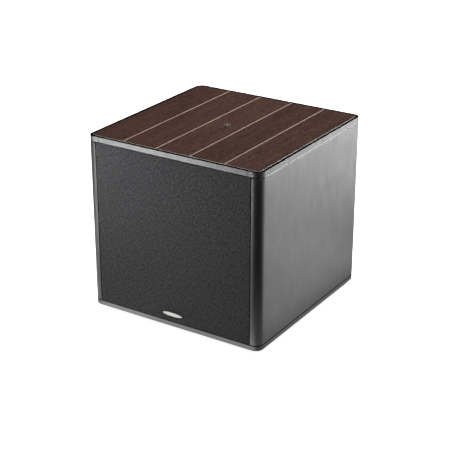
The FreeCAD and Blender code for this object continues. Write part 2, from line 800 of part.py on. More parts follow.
def motor_top_plate():
    y = FACE_Y + BASE_BACK
    return tube(0, DRIVER_Z, TOP_PLATE_BORE_R, TOP_PLATE_R, y, y + TOP_PLATE_T)


def motor_magnet():
    y = FACE_Y + BASE_BACK + TOP_PLATE_T
    return tube(0, DRIVER_Z, MAGNET_BORE_R, MAGNET_R, y, y + MAGNET_T)


def pole_yoke():
    y = FACE_Y + BASE_BACK + TOP_PLATE_T + MAGNET_T
    plate = rod(0, DRIVER_Z, YOKE_R, y, y + YOKE_T)
    pole = rod(0, DRIVER_Z, POLE_R, FACE_Y + POLE_FRONT, y + 1)
    yoke = plate.fuse(pole).removeSplitter()
    return yoke.cut(rod(0, DRIVER_Z, VENT_R, FACE_Y + POLE_FRONT - 1, y + YOKE_T + 1))


def terminal_board():
    """A block on the top of the basket that carries the two solder tabs."""
    low = DRIVER_Z + BASE_R - TERMINAL_SUNK
    high = DRIVER_Z + TAB_RADIUS - TAB_HALF_T
    y0, y1 = FACE_Y + TERMINAL_FRONT, FACE_Y + TERMINAL_BACK
    board = block(-TERMINAL_HALF_W, TERMINAL_HALF_W, y0, y1, low, high)
    return board.cut(rod(0, DRIVER_Z, BASE_R, y0 - 1, y1 + 1))


def terminal_tabs():
    z = DRIVER_Z + TAB_RADIUS
    y0, y1 = FACE_Y + TERMINAL_FRONT - 2, FACE_Y + TERMINAL_BACK + TAB_REACH
    half = TAB_HALF_W
    return group([block(x - half, x + half, y0, y1, z - TAB_HALF_T, z + TAB_HALF_T) for x in (-TAB_X, TAB_X)])


def speaker_wires():
    """Two wires from the driver's tabs to the amplifier's board, sagging a little on the way."""
    z = DRIVER_Z + TAB_RADIUS
    y0 = FACE_Y + TERMINAL_BACK + TAB_REACH + WIRE_GAP
    y1 = BOARD_Y - BOARD_T - WIRE_GAP
    wires = []
    for x in (-TAB_X, TAB_X):
        lowest = V(x, (y0 + y1) / 2, z - WIRE_SAG)
        path = Part.Wire([Part.Arc(V(x, y0, z), lowest, V(x, y1, z)).toShape()])
        start = path.Edges[0]
        ring = Part.Wire([Part.makeCircle(WIRE_R, V(x, y0, z), start.tangentAt(start.FirstParameter))])
        wires.append(path.makePipeShell([ring], True, True))
    return group(wires)


# Amplifier

def plate_hole(x, z, half_w, half_h):
    return block(x - half_w, x + half_w, PLATE_IN_Y - 1, PLATE_Y + 1, z - half_h, z + half_h)


def amp_plate():
    plate = amp_tablet(PLATE_HALF_W, PLATE_HALF_H, PLATE_R, PLATE_IN_Y, PLATE_Y)
    y0, y1 = PLATE_IN_Y - 1, PLATE_Y + 1
    gap = PLATE_HOLE_GAP
    holes = [rod(x, z, PLATE_SCREW_HOLE_R, y0, y1) for x, z in plate_screw_places()]
    holes += [rod(x, CONTROLS_Z, BUSHING_R + gap, y0, y1) for x in (VOLUME_X, CROSSOVER_X)]
    holes += [rod(x, CONTROLS_Z, JACK_R + gap, y0, y1) for x in JACK_XS]
    holes.append(rod(0, LENS_Z, LENS_R + gap, y0, y1))
    holes.append(plate_hole(PHASE_X, CONTROLS_Z, SLOT_HALF_W, SLOT_HALF_H))
    holes.append(plate_hole(ROCKER_X, SOCKETS_Z, SWITCH_HALF_W + gap, SWITCH_HALF_H + gap))
    holes.append(plate_hole(INLET_X, SOCKETS_Z, INLET_HALF_W + gap, INLET_HALF_H + gap))
    return with_holes(plate, holes)


def amp_plate_screws():
    made = []
    for x, z in plate_screw_places():
        made.append(screw(x, z, PLATE_HEAD_R, PLATE_HEAD_H, PLATE_SCREW_R, PLATE_Y, -1, PLATE_SCREW_L))
    return group(made)


def heat_sink():
    """An extrusion with upright fins, bolted flat to the inside of the plate."""
    base_y = PLATE_IN_Y - SINK_BASE_T
    sink = block(-SINK_HALF_W, SINK_HALF_W, base_y, PLATE_IN_Y, SINK_LOW_Z, SINK_HIGH_Z)
    pitch = (2 * SINK_HALF_W - SINK_FIN_T) / (SINK_FINS - 1)
    fins = []
    for i in range(SINK_FINS):
        x = -SINK_HALF_W + i * pitch
        fins.append(block(x, x + SINK_FIN_T, base_y - SINK_FIN_REACH, base_y, SINK_LOW_Z, SINK_HIGH_Z))
    return sink.multiFuse(fins).removeSplitter()


def circuit_board():
    return block(-BOARD_HALF_W, BOARD_HALF_W, BOARD_Y - BOARD_T, BOARD_Y, BOARD_LOW_Z, BOARD_HIGH_Z)


def transformer():
    """A toroidal mains transformer standing on the cabinet's floor."""
    top = FLOOR_Z + TOROID_H
    ring = upright_rod(TOROID_X, TOROID_Y, TOROID_R, FLOOR_Z, top)
    ring = ring.makeFillet(TOROID_ROUND, outer_edges(ring, top))
    return ring.cut(upright_rod(TOROID_X, TOROID_Y, TOROID_BORE_R, FLOOR_Z - 1, top + 1))


def filter_capacitors():
    y1 = BOARD_Y - BOARD_T
    return group([rod(x, CAN_Z, CAN_R, y1 - CAN_H, y1) for x in CAN_XS])


def potentiometers():
    made = []
    for x in (VOLUME_X, CROSSOVER_X):
        low, high = CONTROLS_Z - POT_HALF_H, CONTROLS_Z + POT_HALF_H
        body = block(x - POT_HALF_W, x + POT_HALF_W, BOARD_Y, PLATE_IN_Y - POT_FRONT_GAP, low, high)
        bushing = rod(x, CONTROLS_Z, BUSHING_R, PLATE_IN_Y - BUSHING_SUNK, PLATE_Y)
        bore = rod(x, CONTROLS_Z, SHAFT_R + SHAFT_FIT, BOARD_Y + POT_BACK_T, PLATE_Y + 1)
        made.append(body.fuse(bushing).removeSplitter().cut(bore))
    return group(made)


def shaft(x):
    return rod(x, CONTROLS_Z, SHAFT_R, BOARD_Y + POT_BACK_T + POT_SHAFT_GAP, SHAFT_END_Y)


def knob(x):
    """A round knob with grip grooves and a pointer groove across its face."""
    y0 = PLATE_Y + KNOB_GAP
    y1 = y0 + KNOB_H
    body = rod(x, CONTROLS_Z, KNOB_R, y0, y1)
    body = body.makeFillet(KNOB_ROUND, back_edges(body, y1))
    holes = [rod(x, CONTROLS_Z, SHAFT_R, y0 - 1, SHAFT_END_Y)]
    reach = KNOB_R + KNOB_GROOVE_OUT
    for i in range(KNOB_GROOVES):
        a = 2 * math.pi * i / KNOB_GROOVES
        u, w = reach * math.cos(a), reach * math.sin(a)
        holes.append(rod(x + u, CONTROLS_Z + w, KNOB_GROOVE_R, y0 - 1, y1 - KNOB_GROOVE_STOP))
    low, high = CONTROLS_Z + POINTER_START, CONTROLS_Z + KNOB_R
    holes.append(block(x - POINTER_HALF_W, x + POINTER_HALF_W, y1 - POINTER_DEPTH, y1 + 1, low, high))
    return with_holes(body, holes)


def input_jacks():
    made = []
    end = PLATE_Y + JACK_REACH
    for x in JACK_XS:
        barrel = rod(x, CONTROLS_Z, JACK_R, BOARD_Y, end)
        barrel = barrel.makeChamfer(JACK_CHAMFER, back_edges(barrel, end))
        washer = rod(x, CONTROLS_Z, JACK_R + JACK_WASHER_W, PLATE_Y, PLATE_Y + JACK_WASHER_T)
        bore = rod(x, CONTROLS_Z, JACK_BORE_R, PLATE_Y - JACK_BORE_DEPTH, end + 1)
        made.append(barrel.fuse(washer).removeSplitter().cut(bore))
    return group(made)


def switch_block(half_w, half_h, y0, y1):
    """A block centred on the rocker switch."""
    return block(ROCKER_X - half_w, ROCKER_X + half_w, y0, y1, SOCKETS_Z - half_h, SOCKETS_Z + half_h)


def power_switch_housing():
    back_y = ROCKER_PIVOT_Y - ROCKER_R - 2 * SWITCH_END_T
    front_y = PLATE_Y + SWITCH_BEZEL
    body = switch_block(SWITCH_HALF_W, SWITCH_HALF_H, back_y, PLATE_Y)
    bezel = switch_block(SWITCH_HALF_W + SWITCH_BEZEL, SWITCH_HALF_H + SWITCH_BEZEL, PLATE_Y, front_y)
    well = switch_block(ROCKER_HALF_W + ROCKER_GAP, ROCKER_R + ROCKER_GAP, back_y + SWITCH_END_T, front_y + 1)
    return body.fuse(bezel).removeSplitter().cut(well)


def power_rocker():
    """A round-backed rocker whose face is a shallow V, at rest with its lower half pressed in."""
    centre = V(ROCKER_X, ROCKER_PIVOT_Y, SOCKETS_Z)
    axis = V(1, 0, 0)
    start = centre - axis * ROCKER_HALF_W
    drum = Part.makeCylinder(ROCKER_R, 2 * ROCKER_HALF_W, start, axis)
    wide = ROCKER_R + 2
    tip = ROCKER_DIP + wide * math.tan(math.radians(ROCKER_TILT_DEG))
    corners = [(-wide, -wide), (-wide, tip), (0, ROCKER_DIP), (wide, tip), (wide, -wide)]
    points = [start + V(0, y, z) for z, y in corners]
    prism = Part.Face(Part.makePolygon(points + points[:1])).extrude(axis * 2 * ROCKER_HALF_W)
    rocker = drum.common(prism)
    rocker.rotate(centre, axis, -ROCKER_TILT_DEG)
    return rocker


def phase_block(half_w, half_h, y0, y1):
    """A block centred on the phase switch."""
    return block(PHASE_X - half_w, PHASE_X + half_w, y0, y1, CONTROLS_Z - half_h, CONTROLS_Z + half_h)


def phase_switch_housing():
    cover = phase_block(SLIDE_SWITCH_HALF_W, SLIDE_SWITCH_HALF_H, BOARD_Y, PLATE_IN_Y)
    return cover.cut(phase_block(SLOT_HALF_W, SLOT_HALF_H, BOARD_Y + SLIDE_SWITCH_BACK_T, PLATE_IN_Y + 1))


def phase_slider():
    middle = PHASE_X - SLIDER_TRAVEL / 2
    return block(
        middle - SLIDER_HALF,
        middle + SLIDER_HALF,
        BOARD_Y + SLIDE_SWITCH_BACK_T + SLIDER_GAP,
        PLATE_Y + SLIDER_PROUD,
        CONTROLS_Z - SLIDER_HALF,
        CONTROLS_Z + SLIDER_HALF,
    )


def inlet_mouth():
    """The socket's six-sided recess: a rectangle with its two upper corners cut off."""
    half = MOUTH_HALF_W
    low, high = MOUTH_LOW_Z, MOUTH_LOW_Z + MOUTH_H
    corners = [
        (-half, low),
        (half, low),
        (half, high - MOUTH_CHAMFER),
        (half - MOUTH_CHAMFER, high),
        (MOUTH_CHAMFER - half, high),
        (-half, high - MOUTH_CHAMFER),
    ]
    y = INLET_FRONT_Y - MOUTH_DEPTH
    points = [V(INLET_X + u, y, z) for u, z in corners]
    return Part.Face(Part.makePolygon(points + points[:1])).extrude(V(0, MOUTH_DEPTH + 1, 0))


def inlet_block(half_w, half_h, y0, y1):
    """A block centred on the mains inlet."""
    return block(INLET_X - half_w, INLET_X + half_w, y0, y1, SOCKETS_Z - half_h, SOCKETS_Z + half_h)


def inlet_socket():
    body = inlet_block(INLET_HALF_W, INLET_HALF_H, PLATE_Y - INLET_DEPTH, PLATE_Y)
    wide, high = INLET_HALF_W + INLET_FLANGE_W, INLET_HALF_H + INLET_FLANGE_H
    flange = inlet_block(wide, high, PLATE_Y, INLET_FRONT_Y)
    along = [e for e in flange.Edges if abs(e.tangentAt(e.FirstParameter).y) > 0.5]
    flange = flange.makeFillet(INLET_ROUND, along)
    return body.fuse(flange).removeSplitter().cut(inlet_mouth()).cut(drawer_block(DRAWER_CLEARANCE, 1))


def inlet_pins():
    mid_z = MOUTH_LOW_Z + MOUTH_H / 2
    y0 = INLET_FRONT_Y - MOUTH_DEPTH
    y1 = INLET_FRONT_Y - PIN_SET_BACK
    made = []
    for i in (-1, 0, 1):
        x = INLET_X + i * PIN_PITCH
        z = mid_z + (PIN_STAGGER if i == 0 else -PIN_STAGGER)
        made.append(block(x - PIN_HALF_W, x + PIN_HALF_W, y0, y1, z - PIN_HALF_H, z + PIN_HALF_H))
    return group(made)


def drawer_block(grow, proud):
    """The fuse drawer's outline, grown all round, from its back to a little proud of the inlet."""
    half = DRAWER_HALF_W + grow
    y0, y1 = INLET_FRONT_Y - DRAWER_DEPTH - grow, INLET_FRONT_Y + proud
    return block(INLET_X - half, INLET_X + half, y0, y1, DRAWER_LOW_Z - grow, DRAWER_HIGH_Z + grow)


def fuse_middle():
    return V(INLET_X, INLET_FRONT_Y - FUSE_BACK, (DRAWER_LOW_Z + DRAWER_HIGH_Z) / 2)


def fuse_drawer():
    """A small tray for the fuse, open above, with a nick in its front to pull it by."""
    m = fuse_middle()
    half = FUSE_L / 2 + FUSE_GAP
    r = FUSE_R + FUSE_GAP
    top = DRAWER_HIGH_Z + 1
    bed = block(m.x - half, m.x + half, m.y - r, m.y + r, m.z - r, top)
    x0, x1 = INLET_X - NICK_HALF_W, INLET_X + NICK_HALF_W
    y1 = INLET_FRONT_Y + DRAWER_PROUD
    nick = block(x0, x1, y1 - NICK_DEPTH, y1 + 1, DRAWER_HIGH_Z - NICK_H, top)
    return drawer_block(0, DRAWER_PROUD).cut(bed).cut(nick)


def fuse():
    m = fuse_middle()
    return Part.makeCylinder(FUSE_R, FUSE_L, V(m.x - FUSE_L / 2, m.y, m.z), V(1, 0, 0))


def status_lens():
    """A light guide with a flattened dome on its front."""
    dome_y = PLATE_Y + LENS_COLLAR
    base = rod(0, LENS_Z, LENS_R, PLATE_IN_Y - PLATE_T, dome_y)
    dome = Part.makeSphere(LENS_R, V(0, dome_y, LENS_Z))
    flat = block(-LENS_R, LENS_R, PLATE_Y, dome_y + LENS_DOME, LENS_Z - LENS_R, LENS_Z + LENS_R)
    return base.fuse(dome.common(flat)).removeSplitter()


PARTS = {
    "left_side_wall": side_wall(-1),
    "right_side_wall": side_wall(1),
    "left_side_cover": side_cover(-1),
    "right_side_cover": side_cover(1),
    "bottom_panel": bottom_panel(),
    "top_panel": top_panel(),
    "back_panel": back_panel(),
    "front_baffle": front_baffle(),
    "cross_brace": cross_brace(),
    "damping_foam": damping_foam(),
    "bottom_frame": bottom_frame(),
    "top_frame": top_frame(),
    "top_frame_front_bar": top_frame_front_bar(),
    "top_trim_ring": top_trim_ring(),
    "top_wood_panel": top_wood_panel(),
    "top_inlay_strips": top_inlay_strips(),
    "top_disc": top_disc(),
    "feet": feet(),
    "foot_screws": foot_screws(),
    "grille_frame": grille_frame(),
    "grille_cloth": grille_cloth(),
    "grille_pegs": grille_pegs(),
    "grille_cups": grille_cups(),
    "badge": badge(),
    "driver_basket": driver_basket(),
    "foam_gaskets": foam_gaskets(),
    "driver_screws": driver_screws(),
    "surround": surround(),
    "cone": cone(),
    "dust_cap": dust_cap(),
    "coil_former": coil_former(),
    "coil_winding": coil_winding(),
    "spider": spider(),
    "motor_top_plate": motor_top_plate(),
    "motor_magnet": motor_magnet(),
    "pole_yoke": pole_yoke(),
    "terminal_board": terminal_board(),
    "terminal_tabs": terminal_tabs(),
    "speaker_wires": speaker_wires(),
    "amp_plate": amp_plate(),
    "amp_plate_screws": amp_plate_screws(),
    "heat_sink": heat_sink(),
    "circuit_board": circuit_board(),
    "transformer": transformer(),
    "filter_capacitors": filter_capacitors(),
    "potentiometers": potentiometers(),
    "volume_knob": knob(VOLUME_X),
    "volume_shaft": shaft(VOLUME_X),
    "crossover_knob": knob(CROSSOVER_X),
    "crossover_shaft": shaft(CROSSOVER_X),
    "input_jacks": input_jacks(),
    "power_switch_housing": power_switch_housing(),
    "power_rocker": power_rocker(),
    "phase_switch_housing": phase_switch_housing(),
    "phase_slider": phase_slider(),
    "inlet_socket": inlet_socket(),
    "inlet_pins": inlet_pins(),
    "fuse_drawer": fuse_drawer(),
    "fuse": fuse(),
    "status_lens": status_lens(),
}

os.makedirs("parts", exist_ok=True)
for name, shape in PARTS.items():
    shape.exportStep(f"parts/{name}.step")
    box = shape.BoundBox
    low = f"{box.XMin:.1f}, {box.YMin:.1f}, {box.ZMin:.1f}"
    high = f"{box.XMax:.1f}, {box.YMax:.1f}, {box.ZMax:.1f}"
    print(f"{name}: {len(shape.Solids)} solids, valid {shape.isValid()}, from {low} to {high}")
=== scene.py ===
"""The looks of the powered subwoofer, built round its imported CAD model. Metres, in the model's own frame."""

import json
import math

import bpy
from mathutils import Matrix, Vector

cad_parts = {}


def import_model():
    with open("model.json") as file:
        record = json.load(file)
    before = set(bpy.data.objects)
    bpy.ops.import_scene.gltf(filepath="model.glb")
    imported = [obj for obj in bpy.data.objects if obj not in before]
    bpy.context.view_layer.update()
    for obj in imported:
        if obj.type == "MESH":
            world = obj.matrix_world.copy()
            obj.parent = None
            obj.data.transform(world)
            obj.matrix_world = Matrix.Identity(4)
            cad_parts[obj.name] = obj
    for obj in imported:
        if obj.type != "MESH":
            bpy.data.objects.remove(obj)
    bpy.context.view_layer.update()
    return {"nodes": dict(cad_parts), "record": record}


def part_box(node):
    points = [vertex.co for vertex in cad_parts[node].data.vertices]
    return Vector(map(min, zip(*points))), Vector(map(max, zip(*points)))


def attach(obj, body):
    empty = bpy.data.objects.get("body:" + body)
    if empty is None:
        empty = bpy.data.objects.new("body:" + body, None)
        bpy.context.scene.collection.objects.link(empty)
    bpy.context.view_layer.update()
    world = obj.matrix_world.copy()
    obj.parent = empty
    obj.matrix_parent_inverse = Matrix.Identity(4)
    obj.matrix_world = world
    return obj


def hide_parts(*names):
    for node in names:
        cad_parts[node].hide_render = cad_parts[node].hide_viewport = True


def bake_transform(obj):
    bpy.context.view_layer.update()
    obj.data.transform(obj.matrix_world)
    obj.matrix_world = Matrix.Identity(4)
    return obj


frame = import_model()

MM = 0.001

# Studio: the cards' height over the floor, the world's strengths, and the floor's glow and reach
LAYER_GAP = 0.2 * MM
CARD_HEIGHT = 2 * MM
BACKDROP = 2.0
AMBIENT = 0.4
FLOOR_GLOW = 0.9
FLOOR_REACH = 30.0

# Camera: angles in degrees, lens in millimetres, and the rest in metres
AZIMUTH = 32.66
ELEVATION = 23.4
DISTANCE = 2.585
LENS = 100.0
AIM_RIGHT = -0.0044
AIM_UP = -0.0324
AIM_HEIGHT = 0.197

# Places read from the frame
CLOTH_LOW, CLOTH_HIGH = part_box("grille_cloth")
COVER_LOW, COVER_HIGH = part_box("right_side_cover")
WALL_LOW, WALL_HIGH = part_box("right_side_wall")
SURROUND_LOW, SURROUND_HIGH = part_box("surround")
SPIDER_LOW, SPIDER_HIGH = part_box("spider")
INLAY_LOW, INLAY_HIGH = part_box("top_inlay_strips")
JACKS_LOW, JACKS_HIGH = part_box("input_jacks")
RIM_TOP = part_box("top_frame")[1].z
WOOD_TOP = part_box("top_wood_panel")[1].z
DISC_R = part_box("top_disc")[1].x
FORMER_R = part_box("coil_former")[1].x

BODY_HALF = COVER_HIGH.x
CORNER_R = 17 * MM
KNOB_TURN_DEG = 150  # each way from the middle
DRIVER_Z = (SURROUND_LOW.z + SURROUND_HIGH.z) / 2
PLATE_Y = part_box("amp_plate")[1].y
GAPS_BETWEEN_INLAYS = 3
PLANK_PITCH = (INLAY_HIGH.x - INLAY_LOW.x) / GAPS_BETWEEN_INLAYS


# Node helpers

class Shader:
    """A new material with its Principled shader, and short calls for the nodes it is made of."""

    def __init__(self, name):
        self.material = bpy.data.materials.new(name)
        self.material.use_nodes = True
        self.tree = self.material.node_tree
        self.bsdf = self.tree.nodes["Principled BSDF"]
        self.place = self.node("ShaderNodeTexCoord").outputs["Object"]

    def node(self, kind, **settings):
        """A new node of this kind, with its settings."""
        made = self.tree.nodes.new(kind)
        for key, value in settings.items():
            setattr(made, key, value)
        return made

    def feed(self, socket, value):
        """Links value if it is an output, or sets it as the socket's own value."""
        if isinstance(value, bpy.types.NodeSocket):
            self.tree.links.new(value, socket)
        elif socket.type == "RGBA" and len(value) == 3:
            socket.default_value = (*value, 1.0)
        else:
            socket.default_value = value

    def set(self, **sockets):
        """Feeds the Principled shader's sockets, each under a short name."""
        names = {
            "colour": "Base Color",
            "metal": "Metallic",
            "rough": "Roughness",
            "specular": "Specular IOR Level",
            "coat": "Coat Weight",
            "sheen": "Sheen Weight",
            "sheen_rough": "Sheen Roughness",
            "normal": "Normal",
            "transmission": "Transmission Weight",
            "glow": "Emission Strength",
            "glow_colour": "Emission Color",
        }
        for key, value in sockets.items():
            self.feed(self.bsdf.inputs[names[key]], value)
        return self

    def stretched(self, x, y, z, vector=None):
        """The object's coordinates, or another vector, scaled along each axis."""
        mapping = self.node("ShaderNodeMapping")
        self.feed(mapping.inputs["Vector"], vector or self.place)
        mapping.inputs["Scale"].default_value = (x, y, z)
        return mapping.outputs["Vector"]

    def noise(self, scale, detail=3.0, rough=0.55, vector=None, distortion=0.0):
        """Fractal noise, from 0 to 1 about a middle of 0.5."""
        made = self.node("ShaderNodeTexNoise")
        self.feed(made.inputs["Vector"], vector or self.place)
        made.inputs["Scale"].default_value = scale
        made.inputs["Detail"].default_value = detail
        made.inputs["Roughness"].default_value = rough
        made.inputs["Distortion"].default_value = distortion
        return made.outputs["Fac"]

    def cells(self, scale, vector=None, feature="F1"):
        """Distance to the nearest cell's centre, or to its edge."""
        made = self.node("ShaderNodeTexVoronoi", feature=feature)
        self.feed(made.inputs["Vector"], vector or self.place)
        made.inputs["Scale"].default_value = scale
        return made.outputs["Distance"]

    def maths(self, operation, a, b=0.0):
        """One operation on a and b, each an output or a number."""
        made = self.node("ShaderNodeMath", operation=operation)
        self.feed(made.inputs[0], a)
        self.feed(made.inputs[1], b)
        return made.outputs[0]

    def weighted(self, *parts):
        """Each part's value times its weight, added up."""
        total = None
        for value, weight in parts:
            term = self.maths("MULTIPLY", value, weight)
            total = term if total is None else self.maths("ADD", total, term)
        return total

    def axis(self, name):
        """One of the object's own coordinates, in metres."""
        split = self.node("ShaderNodeSeparateXYZ")
        self.feed(split.inputs[0], self.place)
        return split.outputs[name]

    def span(self, value, low, high, out_low=0.0, out_high=1.0):
        """value carried from low..high to out_low..out_high, and held at the ends."""
        made = self.node("ShaderNodeMapRange", clamp=True)
        for socket, number in zip(made.inputs[:5], (value, low, high, out_low, out_high)):
            self.feed(socket, number)
        return made.outputs[0]

    def mix(self, factor, a, b):
        """Colour a where factor is 0, and colour b where it is 1."""
        made = self.node("ShaderNodeMix", data_type="RGBA")
        self.feed(made.inputs["Factor"], factor)
        self.feed(made.inputs["A"], a)
        self.feed(made.inputs["B"], b)
        return made.outputs["Result"]

    def bump(self, height, distance, strength=1.0, normal=None):
        """A normal raised by height, on top of an earlier one if there is one."""
        made = self.node("ShaderNodeBump")
        self.feed(made.inputs["Height"], height)
        made.inputs["Distance"].default_value = distance
        made.inputs["Strength"].default_value = strength
        if normal:
            self.feed(made.inputs["Normal"], normal)
        return made.outputs["Normal"]


# Materials of what shows

def leather():
    """Black leather-look wrap: pebbled grain over a soft unevenness, smoother at its turned top edge, and
    lighter there in colour as a painted highlight.
    """
    s = Shader("leather")
    grain_space = s.stretched(1.0, 1.0, 0.62)
    pebbles = s.cells(720, grain_space)
    fine = s.noise(2100, 2, vector=grain_space)
    slow = s.noise(46, 4, 0.62, s.stretched(1.0, 1.0, 0.45))
    mottle = s.noise(190, 3, 0.6, s.stretched(1.0, 1.0, 0.35))
    relief = s.bump(s.weighted((pebbles, 0.8), (fine, 0.35)), 0.09 * MM, 0.7)
    relief = s.bump(mottle, 0.28 * MM, 0.5, relief)
    relief = s.bump(slow, 0.7 * MM, 0.35, relief)
    colour = s.mix(s.span(mottle, 0.3, 0.7), (0.0035, 0.0034, 0.0037), (0.006, 0.0058, 0.006))
    turned_edge = COVER_HIGH.z - 2.4 * MM
    burnish_and_painted_highlight = s.span(s.axis("Z"), turned_edge - 1.0 * MM, turned_edge)
    # Painted highlight: the turned top edge is coloured lighter, for the bright line of gloss it catches.
    colour = s.mix(burnish_and_painted_highlight, colour, (0.03, 0.03, 0.031))
    rough = s.span(s.maths("ADD", slow, s.maths("MULTIPLY", pebbles, 0.4)), 0.35, 1.0, 0.36, 0.48)
    rough = s.maths("SUBTRACT", rough, s.maths("MULTIPLY", burnish_and_painted_highlight, 0.2))
    s.set(colour=colour, rough=rough, normal=relief, specular=0.5)
    return s.material


def lacquer():
    """Black lacquer with a faint orange peel and a trace of dust, satin on its sides and polished above."""
    s = Shader("lacquer")
    peel = s.noise(330, 2)
    dust = s.noise(5200, 1)
    colour = s.mix(s.span(dust, 0.66, 0.8), (0.0035, 0.0035, 0.004), (0.014, 0.014, 0.014))
    satin = s.span(s.noise(60, 3), 0.35, 0.65, 0.41, 0.47)
    above = s.span(s.axis("Z"), RIM_TOP - 0.3 * MM, RIM_TOP - 0.1 * MM)
    rough = s.maths("SUBTRACT", satin, s.maths("MULTIPLY", above, 0.26))
    s.set(colour=colour, rough=rough, normal=s.bump(peel, 0.02 * MM, 0.5), specular=0.6)
    return s.material


def edging_with_painted_highlight():
    """The strip round the wooden top: dark above, and near-white on the sloping outer edge, a painted
    highlight for the bright line that edge catches.
    """
    s = Shader("trim")
    along = s.noise(900, 2, vector=s.stretched(1.0, 1.0, 6.0))
    # Painted highlight: the near-white colour of the sloping outer edge.
    painted_highlight_colour = s.mix(s.span(along, 0.3, 0.7), (0.78, 0.7, 0.64), (0.9, 0.83, 0.78))
    sloping = s.span(s.axis("Z"), WOOD_TOP - 0.05 * MM, WOOD_TOP - 0.02 * MM, 1.0, 0.0)
    colour = s.mix(sloping, (0.009, 0.007, 0.006), painted_highlight_colour)
    s.set(colour=colour, rough=0.5, normal=s.bump(along, 0.01 * MM, 0.4), specular=0.3)
    return s.material


def dark_wood():
    """Dark open-pored veneer in planks, its grain running front to back."""
    s = Shader("dark_wood")
    plank = s.maths("FLOOR", s.maths("ADD", s.maths("DIVIDE", s.axis("X"), PLANK_PITCH), 0.5))
    shuffled = s.node("ShaderNodeTexWhiteNoise", noise_dimensions="1D")
    s.feed(shuffled.inputs["W"], s.maths("ADD", plank, 7.3))
    own = shuffled.outputs["Value"]
    shift = s.node("ShaderNodeCombineXYZ")
    s.feed(shift.inputs["Y"], s.maths("MULTIPLY", own, 3.0))
    s.feed(shift.inputs["Z"], s.maths("MULTIPLY", own, 5.0))
    moved = s.node("ShaderNodeVectorMath", operation="ADD")
    s.feed(moved.inputs[0], s.place)
    s.feed(moved.inputs[1], shift.outputs[0])

    def run(across, along):
        """Coordinates for a texture that is this fine across the grain and along it."""
        return s.stretched(across, along, 1.0, moved.outputs[0])

    broad = s.noise(1.0, 4, 0.6, run(60, 4.5), 0.5)
    stripes = s.noise(1.0, 2, 0.55, run(340, 7), 0.1)
    streaks = s.noise(1.0, 3, 0.75, run(560, 75), 0.15)
    fibres = s.noise(1.0, 3, 0.6, run(1500, 30))
    pores = s.noise(1.0, 1, 0.5, run(1150, 62))
    plank_tone = s.maths("SUBTRACT", own, 0.5)
    tone = s.weighted((stripes, 0.22), (streaks, 0.6), (broad, 0.18), (plank_tone, 0.06))
    colour = s.mix(s.span(tone, 0.36, 0.66), (0.014, 0.0058, 0.004), (0.08, 0.0375, 0.027))
    colour = s.mix(s.span(fibres, 0.52, 0.75, 0.0, 0.4), colour, (0.11, 0.058, 0.043))
    open_pores = s.span(pores, 0.58, 0.66)
    colour = s.mix(s.maths("MULTIPLY", open_pores, 0.75), colour, (0.006, 0.003, 0.0025))
    height = s.maths("SUBTRACT", s.maths("MULTIPLY", streaks, 0.4), open_pores)
    rough = s.span(streaks, 0.3, 0.7, 0.36, 0.5)
    s.set(colour=colour, rough=rough, normal=s.bump(height, 0.06 * MM, 0.6), specular=0.4)
    return s.material


def light_wood():
    """The pale inlay lines, grained along their length."""
    s = Shader("light_wood")
    grain = s.noise(1.0, 3, 0.6, s.stretched(1600, 26, 1.0))
    colour = s.mix(s.span(grain, 0.35, 0.68), (0.315, 0.238, 0.206), (0.473, 0.376, 0.331))
    s.set(colour=colour, rough=0.42, normal=s.bump(grain, 0.02 * MM, 0.4))
    return s.material


def grille_cloth():
    """Plain-weave grille cloth spun from light and dark threads."""
    s = Shader("cloth")
    pitch = 0.95 * MM
    turn = 2 * math.pi / pitch

    def threads(axis, scale):
        return s.maths("SINE", s.maths("MULTIPLY", s.axis(axis), turn * scale))

    warp = threads("X", 1.0)
    weft = threads("Z", 1.0)
    over = s.maths("MULTIPLY", threads("X", 0.5), threads("Z", 0.5))
    weave = s.weighted((warp, weft), (over, 0.5))
    warp_slubs = s.noise(1.0, 3, 0.7, s.stretched(560, 560, 140))
    weft_slubs = s.noise(1.0, 3, 0.7, s.stretched(180, 560, 560))
    slubs = s.maths("ADD", warp_slubs, weft_slubs)
    fleck = s.noise(1.0, 2, 0.75, s.stretched(520, 520, 380))
    cloud = s.noise(95, 4, 0.7)
    tone = s.weighted((slubs, 0.45), (fleck, 0.45), (cloud, 0.1))
    colour = s.mix(s.span(tone, 0.62, 0.84), (0.008, 0.008, 0.0088), (0.069, 0.0685, 0.0725))
    # Partly painted shade: the gaps between threads go near-black, for the black baffle seen through them in
    # shade.
    gaps = s.span(weave, -1.1, -0.5, 1.0, 0.0)
    colour = s.mix(s.maths("MULTIPLY", gaps, 0.6), colour, (0.002, 0.002, 0.002))
    relief = s.bump(weave, 0.16 * MM, 0.5)
    relief = s.bump(s.maths("ADD", slubs, fleck), 0.35 * MM, 0.5, relief)
    s.set(colour=colour, rough=0.85, sheen=0.02, sheen_rough=0.5, normal=relief, specular=0.12)
    return s.material


def ringed_disc():
    """The small disc let into the top: a pale turned centre, a dark ring and a pale lip."""
    s = Shader("disc_metal")
    x, y = s.axis("X"), s.axis("Y")
    radius = s.maths("SQRT", s.weighted((x, x), (y, y)))
    tool_mark = 0.4 * MM
    turned = s.maths("SINE", s.maths("MULTIPLY", radius, 2 * math.pi / tool_mark))
    past_centre = s.span(radius, 0.38 * DISC_R, 0.44 * DISC_R)
    short_of_lip = s.span(radius, 0.78 * DISC_R, 0.84 * DISC_R, 1, 0)
    dark = s.maths("MULTIPLY", past_centre, short_of_lip)
    s.set(
        colour=s.mix(dark, (0.34, 0.35, 0.34), (0.006, 0.009, 0.008)),
        metal=0.4,
        rough=s.span(turned, -1, 1, 0.26, 0.4),
        normal=s.bump(turned, 0.03 * MM, 0.5),
    )
    return s.material


